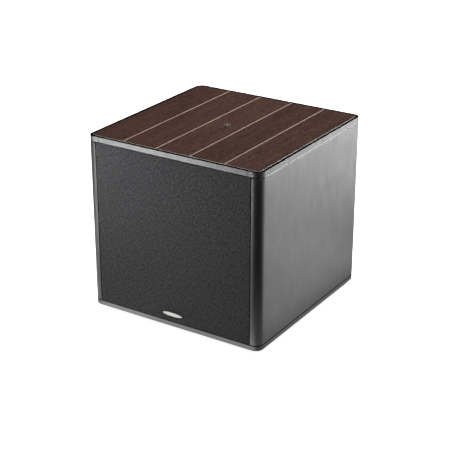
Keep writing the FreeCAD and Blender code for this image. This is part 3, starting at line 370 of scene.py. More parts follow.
def badge_metal():
    """The oval plate on the grille: dull, finely brushed metal."""
    s = Shader("badge_metal")
    brushed = s.noise(1.0, 3, 0.6, s.stretched(60, 900, 2600))
    s.set(
        colour=s.mix(s.span(brushed, 0.3, 0.7), (0.19, 0.19, 0.178), (0.27, 0.27, 0.255)),
        metal=0.55,
        rough=0.38,
        normal=s.bump(brushed, 0.012 * MM, 0.5),
    )
    return s.material


def painted_board():
    """Fibreboard: black paint on its outside, bare and brown inside the box."""
    s = Shader("black_board")
    fibres = s.noise(420, 4, 0.65)
    bare = s.mix(s.span(fibres, 0.3, 0.7), (0.2, 0.13, 0.075), (0.33, 0.23, 0.14))
    black = s.mix(s.span(fibres, 0.35, 0.65), (0.0095, 0.0095, 0.01), (0.014, 0.014, 0.0145))
    inner = WALL_LOW.x - 0.2 * MM
    away = s.maths("MAXIMUM", s.maths("ABSOLUTE", s.axis("X")), s.maths("ABSOLUTE", s.axis("Y")))
    inside = s.span(away, inner - 0.1 * MM, inner, 1.0, 0.0)
    box_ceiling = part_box("top_panel")[0].z
    box_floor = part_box("bottom_panel")[1].z
    low = s.span(s.axis("Z"), box_floor - 0.2 * MM, box_floor - 0.1 * MM)
    high = s.span(s.axis("Z"), box_ceiling + 0.1 * MM, box_ceiling + 0.2 * MM, 1.0, 0.0)
    inside = s.maths("MULTIPLY", inside, s.maths("MULTIPLY", low, high))
    s.set(
        colour=s.mix(inside, black, bare),
        rough=s.span(fibres, 0.3, 0.7, 0.5, 0.66),
        normal=s.bump(fibres, 0.05 * MM, 0.5),
        specular=0.35,
    )
    return s.material


# Recipes that several materials share

def moulded(name, dark, light, rough, grain=900, depth=0.03, specular=0.5, coat=0.0):
    """Moulded plastic or rubber: a fine spark-eroded texture with small changes of tone and gloss."""
    s = Shader(name)
    texture = s.noise(grain, 3, 0.6)
    tone = s.noise(60, 4, 0.6)
    s.set(
        colour=s.mix(s.span(tone, 0.3, 0.7), dark, light),
        rough=s.span(texture, 0.3, 0.7, rough - 0.06, rough + 0.06),
        normal=s.bump(texture, depth * MM, 0.5),
        specular=specular,
        coat=coat,
    )
    return s.material


def metal(name, dark, light, rough, brush=(1.0, 1.0, 1.0), depth=0.01):
    """Metal with marks stretched along its brushing or drawing."""
    s = Shader(name)
    marks = s.noise(1.0, 4, 0.65, s.stretched(*[900 * b for b in brush]))
    stain = s.noise(70, 4, 0.6)
    s.set(
        colour=s.mix(s.span(stain, 0.3, 0.7), dark, light),
        metal=1.0,
        rough=s.span(marks, 0.3, 0.7, rough - 0.07, rough + 0.07),
        normal=s.bump(marks, depth * MM, 0.5),
    )
    return s.material


def powder_coat(name, dark, light):
    """Fine-texture powder coat."""
    s = Shader(name)
    crackle = s.cells(1500)
    grain = s.noise(2600, 2)
    s.set(
        colour=s.mix(s.span(grain, 0.35, 0.7), dark, light),
        rough=s.span(grain, 0.3, 0.7, 0.45, 0.6),
        normal=s.bump(s.maths("ADD", crackle, grain), 0.05 * MM, 0.6),
        specular=0.45,
    )
    return s.material


# Materials of what is inside the cabinet

def foam():
    """Open-cell foam: the pits painted darker than the ribs between them, as painted shade in the hollows."""
    s = Shader("foam")
    pits = s.cells(1250)
    tone = s.noise(240, 4, 0.7)
    # Painted shade: the cell hollows are coloured darker than the ribs.
    s.set(
        colour=s.mix(s.span(pits, 0.15, 0.75), (0.008, 0.008, 0.009), (0.05, 0.05, 0.054)),
        rough=s.span(tone, 0.3, 0.7, 0.9, 1.0),
        normal=s.bump(pits, 0.5 * MM, 0.8),
        specular=0.1,
    )
    return s.material


def cone_fibre():
    """Pressed fibre: matted threads and a faint sheen from its coating."""
    s = Shader("pulp")
    matted = s.noise(1.0, 5, 0.7, s.stretched(330, 330, 330), 1.4)
    speck = s.noise(2400, 1)
    s.set(
        colour=s.mix(s.span(matted, 0.35, 0.7), (0.018, 0.018, 0.0185), (0.05, 0.05, 0.051)),
        rough=s.span(speck, 0.3, 0.7, 0.5, 0.66),
        normal=s.bump(matted, 0.18 * MM, 0.7),
        specular=0.4,
    )
    return s.material


def spider_cloth():
    """Resin-dipped cotton: two sets of threads that cross."""
    s = Shader("spider_cloth")
    warp = s.noise(1.0, 2, 0.5, s.stretched(1400, 1, 200))
    weft = s.noise(1.0, 2, 0.5, s.stretched(200, 1, 1400))
    threads = s.maths("MULTIPLY", warp, weft)
    s.set(
        colour=s.mix(s.span(threads, 0.15, 0.38), (0.2, 0.12, 0.04), (0.5, 0.34, 0.14)),
        rough=0.75,
        normal=s.bump(threads, 0.1 * MM, 0.8),
    )
    return s.material


def copper_wire():
    """Enamelled wire wound in close turns round the driver's axis, darker in the grooves between turns as
    painted shade.
    """
    s = Shader("copper")
    wire = 0.35 * MM
    turns = s.maths("SINE", s.maths("MULTIPLY", s.axis("Y"), 2 * math.pi / wire))
    # Painted shade: the colour darkens in the grooves between the turns.
    s.set(
        colour=s.mix(s.span(turns, -1.0, 0.4), (0.16, 0.05, 0.02), (0.62, 0.26, 0.12)),
        metal=1.0,
        rough=s.span(s.noise(300, 2), 0.3, 0.7, 0.28, 0.38),
        normal=s.bump(turns, 0.06 * MM, 0.8),
    )
    return s.material


def wire_jacket():
    """Two wires in one node: one red, one black."""
    s = Shader("wire_jacket")
    side = s.span(s.axis("X"), -1 * MM, 1 * MM)
    scuff = s.noise(260, 4)
    pair = s.mix(side, (0.012, 0.012, 0.012), (0.3, 0.014, 0.012))
    s.set(
        colour=s.mix(s.span(scuff, 0.55, 0.85, 0.0, 0.25), pair, (0.3, 0.25, 0.22)),
        rough=s.span(scuff, 0.3, 0.7, 0.38, 0.5),
        normal=s.bump(scuff, 0.03 * MM, 0.4),
    )
    return s.material


def circuit():
    """Solder mask over copper tracks."""
    s = Shader("circuit")
    tracks = s.cells(260, feature="DISTANCE_TO_EDGE")
    pads = s.cells(320)
    mask = s.mix(s.span(tracks, 0.03, 0.06), (0.02, 0.16, 0.06), (0.006, 0.07, 0.026))
    s.set(
        colour=s.mix(s.span(pads, 0.1, 0.12, 0.8, 0.0), mask, (0.5, 0.5, 0.48)),
        rough=s.span(tracks, 0.02, 0.07, 0.3, 0.42),
        normal=s.bump(tracks, 0.04 * MM, 0.5),
    )
    return s.material


def winding_tape():
    """Polyester tape wound round a toroid: overlapping turns seen as fine ribs."""
    s = Shader("winding_tape")
    low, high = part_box("transformer")
    middle = (low + high) / 2
    x = s.maths("SUBTRACT", s.axis("X"), middle.x)
    y = s.maths("SUBTRACT", s.axis("Y"), middle.y)
    angle = s.maths("ARCTAN2", y, x)
    turns = 64.0
    ribs = s.maths("SINE", s.maths("MULTIPLY", angle, turns))
    s.set(
        colour=s.mix(s.span(ribs, -0.6, 0.9), (0.13, 0.085, 0.012), (0.36, 0.25, 0.04)),
        rough=s.span(s.noise(200, 3), 0.3, 0.7, 0.26, 0.38),
        normal=s.bump(ribs, 0.14 * MM, 0.6),
    )
    return s.material


# Materials of the small pieces on the rear

def clear(name, colour, rough, tint_noise):
    """Clear glass or plastic, a little uneven in its tint and surface."""
    s = Shader(name)
    s.set(
        colour=s.mix(s.span(s.noise(tint_noise, 2), 0.3, 0.7), colour, [c * 0.9 for c in colour]),
        rough=rough,
        transmission=0.85,
        normal=s.bump(s.noise(tint_noise * 2, 2), 0.01 * MM, 0.3),
    )
    return s.material


def print_ink():
    """White printing, worn in places."""
    s = Shader("print_ink")
    wear = s.noise(900, 4, 0.7)
    s.set(colour=s.mix(s.span(wear, 0.3, 0.75), (0.5, 0.5, 0.49), (0.72, 0.72, 0.7)), rough=0.6)
    return s.material


def coloured_insert(name, colour):
    """Plain coloured plastic for the mouth of a jack."""
    return moulded(name, [c * 0.85 for c in colour], colour, 0.4)


MATERIALS = {
    "black_board": painted_board(),
    "leather": leather(),
    "lacquer": lacquer(),
    "trim": edging_with_painted_highlight(),
    "dark_wood": dark_wood(),
    "light_wood": light_wood(),
    "disc_metal": ringed_disc(),
    "rubber": moulded("rubber", (0.012, 0.012, 0.012), (0.022, 0.022, 0.022), 0.8, 1300, 0.06, 0.3),
    "screw_steel": metal("screw_steel", (0.03, 0.03, 0.032), (0.07, 0.07, 0.073), 0.36, (1.0, 3.0, 1.0)),
    "grille_plastic": moulded("grille_plastic", (0.014, 0.014, 0.014), (0.02, 0.02, 0.02), 0.62),
    "cloth": grille_cloth(),
    "badge_metal": badge_metal(),
    "cast_alloy": powder_coat("cast_alloy", (0.012, 0.012, 0.0125), (0.028, 0.028, 0.029)),
    "foam": foam(),
    "roll_rubber": moulded("roll_rubber", (0.01, 0.01, 0.0105), (0.018, 0.018, 0.019), 0.5, 700, 0.04, 0.4),
    "pulp": cone_fibre(),
    "coil_alloy": metal("coil_alloy", (0.5, 0.5, 0.5), (0.68, 0.68, 0.68), 0.32, (1.0, 0.1, 1.0)),
    "copper": copper_wire(),
    "spider_cloth": spider_cloth(),
    "motor_steel": powder_coat("motor_steel", (0.02, 0.02, 0.021), (0.04, 0.04, 0.041)),
    "ferrite": moulded("ferrite", (0.03, 0.03, 0.032), (0.05, 0.05, 0.053), 0.7, 1900, 0.08, 0.3),
    "brass": metal("brass", (0.5, 0.34, 0.11), (0.68, 0.49, 0.18), 0.28),
    "wire_jacket": wire_jacket(),
    "amp_paint": powder_coat("amp_paint", (0.011, 0.011, 0.0115), (0.02, 0.02, 0.021)),
    "bare_alloy": metal("bare_alloy", (0.4, 0.4, 0.41), (0.56, 0.56, 0.57), 0.36, (1.0, 1.0, 0.05)),
    "circuit": circuit(),
    "winding_tape": winding_tape(),
    "can_sleeve": moulded(
        "can_sleeve", (0.01, 0.012, 0.03), (0.014, 0.016, 0.045), 0.28, grain=300, depth=0.02, coat=0.3
    ),
    "knob_plastic": moulded("knob_plastic", (0.013, 0.013, 0.0135), (0.02, 0.02, 0.021), 0.5),
    "shaft_alloy": metal("shaft_alloy", (0.46, 0.46, 0.47), (0.6, 0.6, 0.61), 0.3, (1.0, 6.0, 1.0)),
    "switch_plastic": moulded("switch_plastic", (0.009, 0.009, 0.009), (0.014, 0.014, 0.014), 0.48),
    "rocker_plastic": moulded("rocker_plastic", (0.011, 0.011, 0.011), (0.018, 0.018, 0.018), 0.3, 500, 0.02),
    "pin_metal": metal("pin_metal", (0.52, 0.51, 0.48), (0.68, 0.67, 0.64), 0.26, (1.0, 0.2, 1.0)),
    "clear_glass": clear("clear_glass", (0.86, 0.9, 0.9), 0.08, 300),
    "lens": clear("lens", (0.2, 0.42, 0.85), 0.16, 500),
}
INK = print_ink()


def dress_nodes():
    """Gives each carried-over CAD node the material of its slot."""
    slots = {part["node"]: part["material_slot"] for part in frame["record"]["subparts"]}
    for name, node in frame["nodes"].items():
        node.data.materials.clear()
        node.data.materials.append(MATERIALS[slots[name]])


# Mesh helpers

def mesh_object(name, vertices, faces, material, smooth_deg=35.0):
    """A mesh in the scene, shaded smooth except where its faces turn by more than smooth_deg."""
    mesh = bpy.data.meshes.new(name)
    mesh.from_pydata([tuple(vertex) for vertex in vertices], [], faces)
    mesh.validate()
    mesh.materials.append(material)
    made = bpy.data.objects.new(name, mesh)
    bpy.context.scene.collection.objects.link(made)
    mesh.shade_smooth()
    mesh.set_sharp_from_angle(angle=math.radians(smooth_deg))
    return made


def piece(made, body, slot, *replaced):
    """Puts a finished piece on its body and hides the CAD nodes that it stands for. slot is not used."""
    if replaced:
        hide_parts(*replaced)
    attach(made, body)


def swept(rings, closed_path=False):
    """Vertices and faces of a closed section carried along a path: one ring of points at each step.

    The two ends of an open path are capped.
    """
    count = len(rings[0])
    vertices = [point for ring in rings for point in ring]
    faces = []
    steps = len(rings) if closed_path else len(rings) - 1
    for i in range(steps):
        here, there = i * count, ((i + 1) % len(rings)) * count
        for j in range(count):
            k = (j + 1) % count
            faces.append((here + j, here + k, there + k, there + j))
    if not closed_path:
        faces.append(tuple(range(count))[::-1])
        faces.append(tuple((len(rings) - 1) * count + j for j in range(count)))
    return vertices, faces


def arc_points(centre, radius, first_deg, last_deg, steps):
    """(point, outward unit vector) pairs round an arc in plan."""
    points = []
    for i in range(steps + 1):
        angle = math.radians(first_deg + (last_deg - first_deg) * i / steps)
        away = (math.cos(angle), math.sin(angle))
        points.append(((centre[0] + radius * away[0], centre[1] + radius * away[1]), away))
    return points


def straight_points(start, end, away, steps):
    """(point, outward unit vector) pairs along a straight stretch in plan."""
    points = []
    for i in range(steps + 1):
        share = i / steps
        point = (start[0] + (end[0] - start[0]) * share, start[1] + (end[1] - start[1]) * share)
        points.append((point, away))
    return points


# The soft pieces

def cover_path(side):
    """Plan of the wrap's outer face on one side, from its front edge round both corners to its rear edge."""
    edge = COVER_LOW.x
    corner = BODY_HALF - CORNER_R
    return_steps, corner_steps, side_steps = 2, 14, 40
    path = straight_points((edge, -BODY_HALF), (corner, -BODY_HALF), (0, -1), return_steps)
    path += arc_points((corner, -corner), CORNER_R, -90, 0, corner_steps)[1:]
    path += straight_points((BODY_HALF, -corner), (BODY_HALF, corner), (1, 0), side_steps)[1:]
    path += arc_points((corner, corner), CORNER_R, 0, 90, corner_steps)[1:]
    path += straight_points((corner, BODY_HALF), (edge, BODY_HALF), (0, 1), return_steps)[1:]
    return [((side * x, y), (side * dx, dy)) for (x, y), (dx, dy) in path]


def cover_section():
    """(depth inwards, height) round the wrap's thickness, with its top and bottom edges rolled in."""
    low, high = COVER_LOW.z, COVER_HIGH.z
    thick = BODY_HALF - WALL_HIGH.x
    roll = 1.7 * MM
    top_roll_in, top_roll_down = 1.9 * MM, 3.2 * MM
    steps = 7
    outer_rows = 24
    section = []
    for i in range(steps + 1):
        angle = math.pi / 2 * i / steps
        section.append((roll * (1 - math.sin(angle)), low + roll * (1 - math.cos(angle))))
    for i in range(1, outer_rows):
        section.append((0.0, low + roll + (high - low - roll - top_roll_down) * i / outer_rows))
    for i in range(steps + 1):
        angle = math.pi / 2 * i / steps
        section.append((top_roll_in * (1 - math.cos(angle)), high - top_roll_down * (1 - math.sin(angle))))
    section.append((thick, high))
    section.append((thick, low))
    return section


def side_cover(hand, side):
    """The wrap as one sheet, glued round its board, with soft turned edges. side is -1 left, 1 right."""
    section = cover_section()
    rings = []
    for (x, y), (dx, dy) in cover_path(side):
        rings.append([(x - dx * depth, y - dy * depth, z) for depth, z in section])
    if side > 0:
        rings = [ring[::-1] for ring in rings]
    vertices, faces = swept(rings)
    made = mesh_object(f"{hand}_wrap", vertices, faces, MATERIALS["leather"], 40)
    piece(made, "cabinet", "leather", f"{hand}_side_cover")


def rounded_outline(half_w, low, high, radius, steps=5):
    """(x, z) points round an upright rectangle with rounded corners."""
    corners = (
        (half_w - radius, low + radius, -90),
        (half_w - radius, high - radius, 0),
        (radius - half_w, high - radius, 90),
        (radius - half_w, low + radius, 180),
    )
    points = []
    for x, z, first in corners:
        for i in range(steps + 1):
            angle = math.radians(first + 90 * i / steps)
            points.append((x + radius * math.cos(angle), z + radius * math.sin(angle)))
    return points


def stretched_cloth():
    """Grille cloth pulled tight over its frame: a flat front, a soft turn, and four returns."""
    front, back = CLOTH_LOW.y, CLOTH_HIGH.y
    half_w = CLOTH_HIGH.x
    low, high = CLOTH_LOW.z, CLOTH_HIGH.z
    thick = 0.75 * MM
    turn = 2.2 * MM
    corner_r, least_corner_r = 3.0 * MM, 0.6 * MM
    steps = 5
    outside = []
    for i in range(steps + 1):
        angle = math.pi / 2 * i / steps
        outside.append((turn * (1 - math.sin(angle)), front + turn * (1 - math.cos(angle))))
    outside.append((0.0, back))
    inside = [(thick, back), (thick, front + turn), (turn, front + thick)]

    def ring(inset, y):
        corner = max(least_corner_r, corner_r - inset)
        return [(x, y, z) for x, z in rounded_outline(half_w - inset, low + inset, high - inset, corner)]

    vertices, faces = swept([ring(inset, y) for inset, y in outside + inside])
    made = mesh_object("grille_cloth_sheet", vertices, faces, MATERIALS["cloth"], 50)
    piece(made, "grille", "cloth", "grille_cloth")


def egg_crate(name, low, high, outwards):
    """One pad of convoluted foam: flat on the wall side, rows of soft peaks on the other.

    outwards is the way to its wall along X, -1 or 1. base is the share of the depth that the dips keep.
    """
    pitch = 27 * MM
    step = 3.4 * MM
    base = 0.45
    ny = round((high.y - low.y) / step)
    nz = round((high.z - low.z) / step)
    vertices = []
    for i in range(ny + 1):
        for j in range(nz + 1):
            y = low.y + (high.y - low.y) * i / ny
            z = low.z + (high.z - low.z) * j / nz
            wave = math.sin(2 * math.pi * y / pitch) * math.sin(2 * math.pi * z / pitch)
            share = base + (1 - base) * (0.5 + 0.5 * wave)
            depth = (high.x - low.x) * share
            vertices.append((high.x - depth if outwards > 0 else low.x + depth, y, z))
    wall_x = high.x if outwards > 0 else low.x
    front_count = len(vertices)
    vertices += [(wall_x, y, z) for _, y, z in vertices[:front_count]]
    faces = []

    def at(i, j, back=0):
        return back * front_count + i * (nz + 1) + j

    def quad(a, b, c, d):
        faces.append((a, b, c, d) if outwards > 0 else (d, c, b, a))

    for i in range(ny):
        for j in range(nz):
            quad(at(i, j), at(i, j + 1), at(i + 1, j + 1), at(i + 1, j))
            quad(at(i + 1, j, 1), at(i + 1, j + 1, 1), at(i, j + 1, 1), at(i, j, 1))
        quad(at(i, 0, 1), at(i, 0), at(i + 1, 0), at(i + 1, 0, 1))
        quad(at(i + 1, nz, 1), at(i + 1, nz), at(i, nz), at(i, nz, 1))
    for j in range(nz):
        quad(at(0, j, 1), at(0, j + 1, 1), at(0, j + 1), at(0, j))
        quad(at(ny, j), at(ny, j + 1), at(ny, j + 1, 1), at(ny, j, 1))
    made = mesh_object(name, vertices, faces, MATERIALS["foam"], 60)
    piece(made, "cabinet", "foam")
    return made


def foam_lining():
    """Four pads against the side walls, above and below the brace."""
    low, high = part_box("damping_foam")
    brace_low, brace_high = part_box("cross_brace")
    thick = 18 * MM
    gap = 4 * MM
    for label, z0, z1 in (("lower", low.z, brace_low.z - gap), ("upper", brace_high.z + gap, high.z)):
        for hand, side, x0, x1 in (("left", -1, low.x, low.x + thick), ("right", 1, high.x - thick, high.x)):
            pad_low, pad_high = Vector((x0, low.y, z0)), Vector((x1, high.y, z1))
            egg_crate(f"foam_{hand}_{label}", pad_low, pad_high, side)
    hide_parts("damping_foam")


def lathe_sector(name, profile, first_deg, last_deg, steps, material):
    """Part of a ring round the driver's axis. profile is (radius, y) points in a closed loop."""
    rings = []
    for i in range(steps + 1):
        angle = math.radians(first_deg + (last_deg - first_deg) * i / steps)
        rings.append([(r * math.cos(angle), y, DRIVER_Z + r * math.sin(angle)) for r, y in profile])
    vertices, faces = swept(rings)
    return mesh_object(name, vertices, faces, material, 40)


def flexing_ring(node, profile, slot, sectors):
    """A ring that stretches between the moving cone and the fixed basket, made of equal sectors.

    Each sector is a mesh of its own, and neighbours agree where they meet.
    """
    steps = 6
    for i in range(sectors):
        first = 360.0 * i / sectors
        last = first + 360.0 / sectors
        made = lathe_sector(f"{node}_{i:02d}", profile, first, last, steps, MATERIALS[slot])
        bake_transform(made)
        if i == 0:
            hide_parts(node)


def surround():
    """A half-roll with a flat lip on each side."""
    mid = 122.5 * MM
    inner, outer = 10.25 * MM, 11.75 * MM
    thick = outer - inner
    lip_in, lip_out = 104 * MM, SURROUND_HIGH.x - 0.2 * MM
    y = SURROUND_HIGH.y
    steps = 14
    profile = [(lip_in, y)]
    for i in range(steps + 1):
        angle = math.pi * i / steps
        profile.append((mid - inner * math.cos(angle), y - inner * math.sin(angle)))
    profile += [(lip_out, y), (lip_out, y - thick)]
    tilt = math.asin(thick / outer)
    for i in range(steps + 1):
        angle = tilt + (math.pi - 2 * tilt) * i / steps
        profile.append((mid + outer * math.cos(angle), y - outer * math.sin(angle)))
    profile.append((lip_in, y - thick))
    flexing_ring("surround", profile[::-1], "roll_rubber", 24)


def spider():
    """Corrugated cloth between the coil former and the basket."""
    first_wave, last_wave = 30 * MM, 66 * MM
    half_waves = 9
    height = 1.8 * MM
    thick = 0.8 * MM
    middle = (SPIDER_LOW.y + SPIDER_HIGH.y + thick) / 2
    steps = 54

    def level(r):
        if not first_wave < r < last_wave:
            return middle
        share = (r - first_wave) / (last_wave - first_wave)
        return middle - height * math.sin(math.pi * half_waves * share)

    corrugated = [first_wave + (last_wave - first_wave) * i / steps for i in range(steps + 1)]
    radii = [FORMER_R] + corrugated + [SPIDER_HIGH.x]
    profile = [(r, level(r)) for r in radii] + [(r, level(r) - thick) for r in radii[::-1]]
    flexing_ring("spider", profile[::-1], "spider_cloth", 12)


# Small fittings on the rear

def bar_faces(offset):
    """The six faces of a bar whose corners start at this vertex number."""
    quads = ((0, 1, 3, 2), (4, 6, 7, 5), (0, 4, 5, 1), (2, 3, 7, 6), (0, 2, 6, 4), (1, 5, 7, 3))
    return [tuple(offset + corner for corner in quad) for quad in quads]


def bar(centre, along, across, out, length, width, height):
    """Eight corners of a small bar that stands on centre and rises along out."""
    corners = []
    for end in (-0.5, 0.5):
        for edge in (-0.5, 0.5):
            for level in (0, 1):
                corner = centre + along * (end * length) + across * (edge * width) + out * (level * height)
                corners.append(corner)
    return corners


def dial_scale(name, knob):
    """Printed marks round a knob, from one end of its turn to the other, with the ends and middle long."""
    low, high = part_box(knob)
    centre = Vector(((low.x + high.x) / 2, PLATE_Y, (low.z + high.z) / 2))
    start_r = (high.x - low.x) / 2 + 1.8 * MM
    long_mark, short_mark = 2.6 * MM, 1.6 * MM
    width, ink = 0.5 * MM, 0.06 * MM
    out = Vector((0, 1, 0))
    vertices, faces = [], []
    gaps = 10
    for i in range(gaps + 1):
        angle = math.radians(-KNOB_TURN_DEG + 2 * KNOB_TURN_DEG * i / gaps)
        along = Vector((math.sin(angle), 0, math.cos(angle)))
        length = long_mark if i in (0, gaps // 2, gaps) else short_mark
        middle = centre + along * (start_r + length / 2)
        faces += bar_faces(len(vertices))
        vertices += bar(middle, along, along.cross(out), out, length, width, ink)
    made = mesh_object(name, vertices, faces, INK, 30)
    piece(made, "cabinet", "pin_metal")


def knob_pointer(name, knob, body):
    """White paint in the groove across a knob's face."""
    low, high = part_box(knob)
    radius = (high.x - low.x) / 2
    inner, outer = 3.2 * MM, radius - 1.3 * MM
    width, paint = 0.9 * MM, 0.3 * MM
    groove_floor = high.y - 0.45 * MM
    middle = Vector(((low.x + high.x) / 2, groove_floor, (low.z + high.z) / 2 + (inner + outer) / 2))
    up, right, out = Vector((0, 0, 1)), Vector((1, 0, 0)), Vector((0, 1, 0))
    corners = bar(middle, up, right, out, outer - inner, width, paint)
    made = mesh_object(name, corners, bar_faces(0), INK, 30)
    piece(made, body, "pin_metal")


def jack_insert(name, x, material):
    """The coloured insulator in a phono jack's mouth."""
    z = (JACKS_LOW.z + JACKS_HIGH.z) / 2
    mouth = JACKS_HIGH.y
    steps = 32
    bore, sleeve, rim = 1.55 * MM, 1.68 * MM, 3.3 * MM
    deep_end, under_rim = mouth - 4 * MM, mouth - 0.02 * MM
    edge, crown = mouth + 0.02 * MM, mouth + 0.12 * MM
    chamfer = 0.2 * MM
    section = [(bore, deep_end), (bore, edge), (bore + chamfer, crown)]
    section += [(rim - chamfer, crown), (rim, edge), (rim, under_rim)]
    section += [(sleeve, under_rim), (sleeve, deep_end)]
    rings = []
    for i in range(steps):
        angle = 2 * math.pi * i / steps
        rings.append([(x + r * math.cos(angle), y, z + r * math.sin(angle)) for r, y in section])
    vertices, faces = swept(rings, closed_path=True)
    made = mesh_object(name, vertices, faces, material, 40)
    piece(made, "cabinet", "switch_plastic")


def rear_fittings():
    """What is printed or pressed onto the controls' CAD solids."""
    dial_scale("volume_scale", "volume_knob")
    dial_scale("crossover_scale", "crossover_knob")
    knob_pointer("volume_pointer", "volume_knob", "volume_control")
    knob_pointer("crossover_pointer", "crossover_knob", "crossover_control")
    half = (JACKS_HIGH.z - JACKS_LOW.z) / 2
    jack_insert("jack_insert_white", JACKS_HIGH.x - half, coloured_insert("insert_white", (0.6, 0.6, 0.58)))
    jack_insert("jack_insert_red", JACKS_LOW.x + half, coloured_insert("insert_red", (0.45, 0.02, 0.02)))


# Studio

def floor():
    """A white floor that glows a little, like a light table, so that shadows on it stay faint."""
    reach = FLOOR_REACH
    corners = [(-reach, -reach, 0), (reach, -reach, 0), (reach, reach, 0), (-reach, reach, 0)]
    s = Shader("floor_paper")
    s.set(colour=(0.87, 0.87, 0.87), rough=0.9, specular=0.05, glow=FLOOR_GLOW, glow_colour=(1.0, 1.0, 1.0))
    made = mesh_object("floor", corners, [(0, 1, 2, 3)], s.material)
    made.visible_glossy = False
    made.visible_diffuse = False
    made.visible_shadow = False


def area_light(name, place, rotation, size, power):
    """A rectangular lamp that the camera doesn't see."""
    data = bpy.data.lights.new(name, "AREA")
    data.shape = "RECTANGLE"
    data.size, data.size_y = size
    data.energy = power
    made = bpy.data.objects.new(name, data)
    made.location = place
    made.rotation_euler = rotation
    made.visible_camera = False
    bpy.context.scene.collection.objects.link(made)
    return made


def softbox(name, place, aim, size, power):
    """A soft light aimed at a point."""
    turn = (Vector(aim) - Vector(place)).to_track_quat("-Z", "Y").to_euler()
    return area_light(name, place, turn, size, power)


def reflector(name, place, turn_deg, size, radiance, layer=0):
    """A bright card lying on the floor, there for the gloss of the dark surfaces to pick up.

    Where cards overlap in one layer, their brightness doesn't add up and their order counts. Cards that
    are to add up each have a layer of their own.
    """
    power = radiance * math.pi * size[0] * size[1]
    height = CARD_HEIGHT - layer * LAYER_GAP
    made = area_light(name, (place[0], place[1], height), (math.pi, 0, math.radians(turn_deg)), size, power)
    made.visible_diffuse = False
    return made


def link_light(light, obj, state):
    """The light reaches this object alone (INCLUDE), or everything except it (EXCLUDE)."""
    group = bpy.data.collections.new(f"{light.name}_link")
    group.objects.link(obj)
    light.light_linking.receiver_collection = group
    group.collection_objects[0].light_linking.link_state = state


def reflector_ring(inner, outer, radiance):
    """Four long cards in a square round the object, so that its gloss finds a pale floor from every side."""
    width, length = outer - inner, outer + inner
    for i in range(4):
        angle = math.pi / 2 * i
        out = Vector((math.cos(angle), math.sin(angle))) * (outer + inner) / 2
        along = Vector((-math.sin(angle), math.cos(angle))) * (outer - inner) / 2
        reflector(f"ring_{i}", out + along, 90 * i, (width, length), radiance)


def world():
    """White to the camera and an even soft light for dull surfaces, and left out of every gloss."""
    made = bpy.data.worlds.new("studio")
    bpy.context.scene.world = made
    made.cycles_visibility.glossy = False
    made.use_nodes = True
    tree = made.node_tree
    tree.nodes.clear()
    output = tree.nodes.new("ShaderNodeOutputWorld")
    mixed = tree.nodes.new("ShaderNodeMixShader")
    backdrop = tree.nodes.new("ShaderNodeBackground")
    backdrop.inputs["Strength"].default_value = BACKDROP
    ambient = tree.nodes.new("ShaderNodeBackground")
    ambient.inputs["Strength"].default_value = AMBIENT
    path = tree.nodes.new("ShaderNodeLightPath")
    link = tree.links.new
    link(path.outputs["Is Camera Ray"], mixed.inputs[0])
    link(ambient.outputs[0], mixed.inputs[1])
    link(backdrop.outputs[0], mixed.inputs[2])
    link(mixed.outputs[0], output.inputs[0])


def gloss_box(name, place, aim, size, radiance):
    """A soft light that only gloss can see."""
    made = softbox(name, place, aim, size, radiance * math.pi * size[0] * size[1])
    made.visible_diffuse = False
    return made


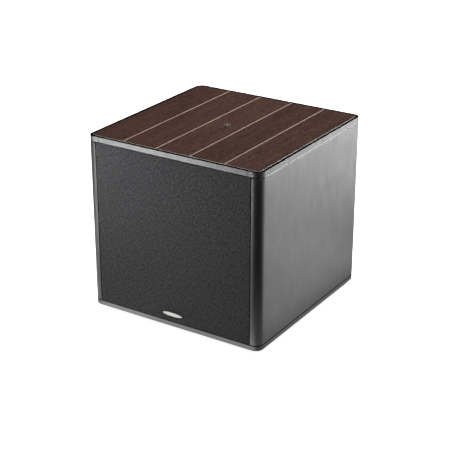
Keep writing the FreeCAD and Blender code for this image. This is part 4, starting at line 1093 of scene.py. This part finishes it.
def lights():
    """A low key and an overhead light the surfaces. All the others are seen only in gloss."""
    key = softbox("key", (-1.44, -0.72, 0.14), (0.1, -0.2, 0.8), (0.5, 0.5), 11.6)
    key.visible_glossy = False
    key.data.spread = math.radians(57)
    overhead = softbox("overhead", (-0.3, 0.7, 2.2), (-0.1, 0.1, 0.4), (1.6, 1.6), 72)
    overhead.visible_glossy = False
    gloss_box("zenith", (0, 0, 4), (0, 0, 0), (4, 4), 1.2)
    gloss_box("right", (2.4, -0.6, 2.2), (0, 0, 0.2), (1.6, 1.6), 2.0)
    gloss_box("back", (1.2, 1.85, 1.25), (0, 0, 0.3), (0.9, 1.2), 19.0)
    gloss_box("front_left", (-1.5, -1.1, 2.4), (0, -0.2, 0.38), (0.7, 0.7), 6.0)
    reflector_ring(1.3, 4.0, 0.8)
    reflector("glow", (0, 0), 0, (0.76, 0.76), 0.95)
    reflector("card_right_1", (1.05, 1.0), 0, (1.61, 2.2), 1.0, 1)
    reflector("card_right_2", (1.17, 1.22), 0, (1.66, 2.2), 1.5, 2)
    reflector("card_right_3", (1.3, 1.45), 0, (1.6, 1.8), 1.15, 3)
    reflector("card_right_4", (1.25, 1.55), 0, (1.6, 1.7), 1.55, 4)
    reflector("card_right_5", (1.32, 1.62), 0, (1.6, 1.56), 1.75, 5)
    reflector("card_front_strip", (0.0, -0.245), 0, (0.4, 0.08), 3.2)
    reflector("card_front_near", (-0.37, -0.45), -31, (0.85, 0.7), 1.1)
    # One bright card in two: the left wrap has a weaker one, because its whole side mirrors it from behind.
    left_wrap = bpy.data.objects["left_wrap"]
    for name, radiance, state in (("card_front_far", 26.0, "EXCLUDE"), ("card_front_left", 12.0, "INCLUDE")):
        card = reflector(name, (-0.61, -0.89), -31, (0.44, 0.8), radiance)
        link_light(card, left_wrap, state)
    reflector("card_left", (-0.62, 0.1), 0, (0.75, 0.6), 0.4)
    reflector("card_back", (-1.75, 1.3), 0, (1.1, 1.8), 4.0)


def camera():
    """Aims at the object from its stated angle and distance, with no shift and no depth of field."""
    data = bpy.data.cameras.new("camera")
    data.lens = LENS
    made = bpy.data.objects.new("camera", data)
    bpy.context.scene.collection.objects.link(made)
    azimuth, elevation = math.radians(AZIMUTH), math.radians(ELEVATION)
    back = Vector((
        math.sin(azimuth) * math.cos(elevation),
        -math.cos(azimuth) * math.cos(elevation),
        math.sin(elevation),
    ))
    right = Vector((math.cos(azimuth), math.sin(azimuth), 0))
    up = back.cross(right)
    aim = Vector((0, 0, AIM_HEIGHT)) + right * AIM_RIGHT + up * AIM_UP
    made.location = aim + back * DISTANCE
    made.rotation_mode = "QUATERNION"
    made.rotation_quaternion = (-back).to_track_quat("-Z", "Y")
    bpy.context.scene.camera = made


dress_nodes()
side_cover("left", -1)
side_cover("right", 1)
stretched_cloth()
foam_lining()
surround()
spider()
rear_fittings()
floor()
world()
lights()
camera()
bpy.context.scene.view_settings.view_transform = "Standard"
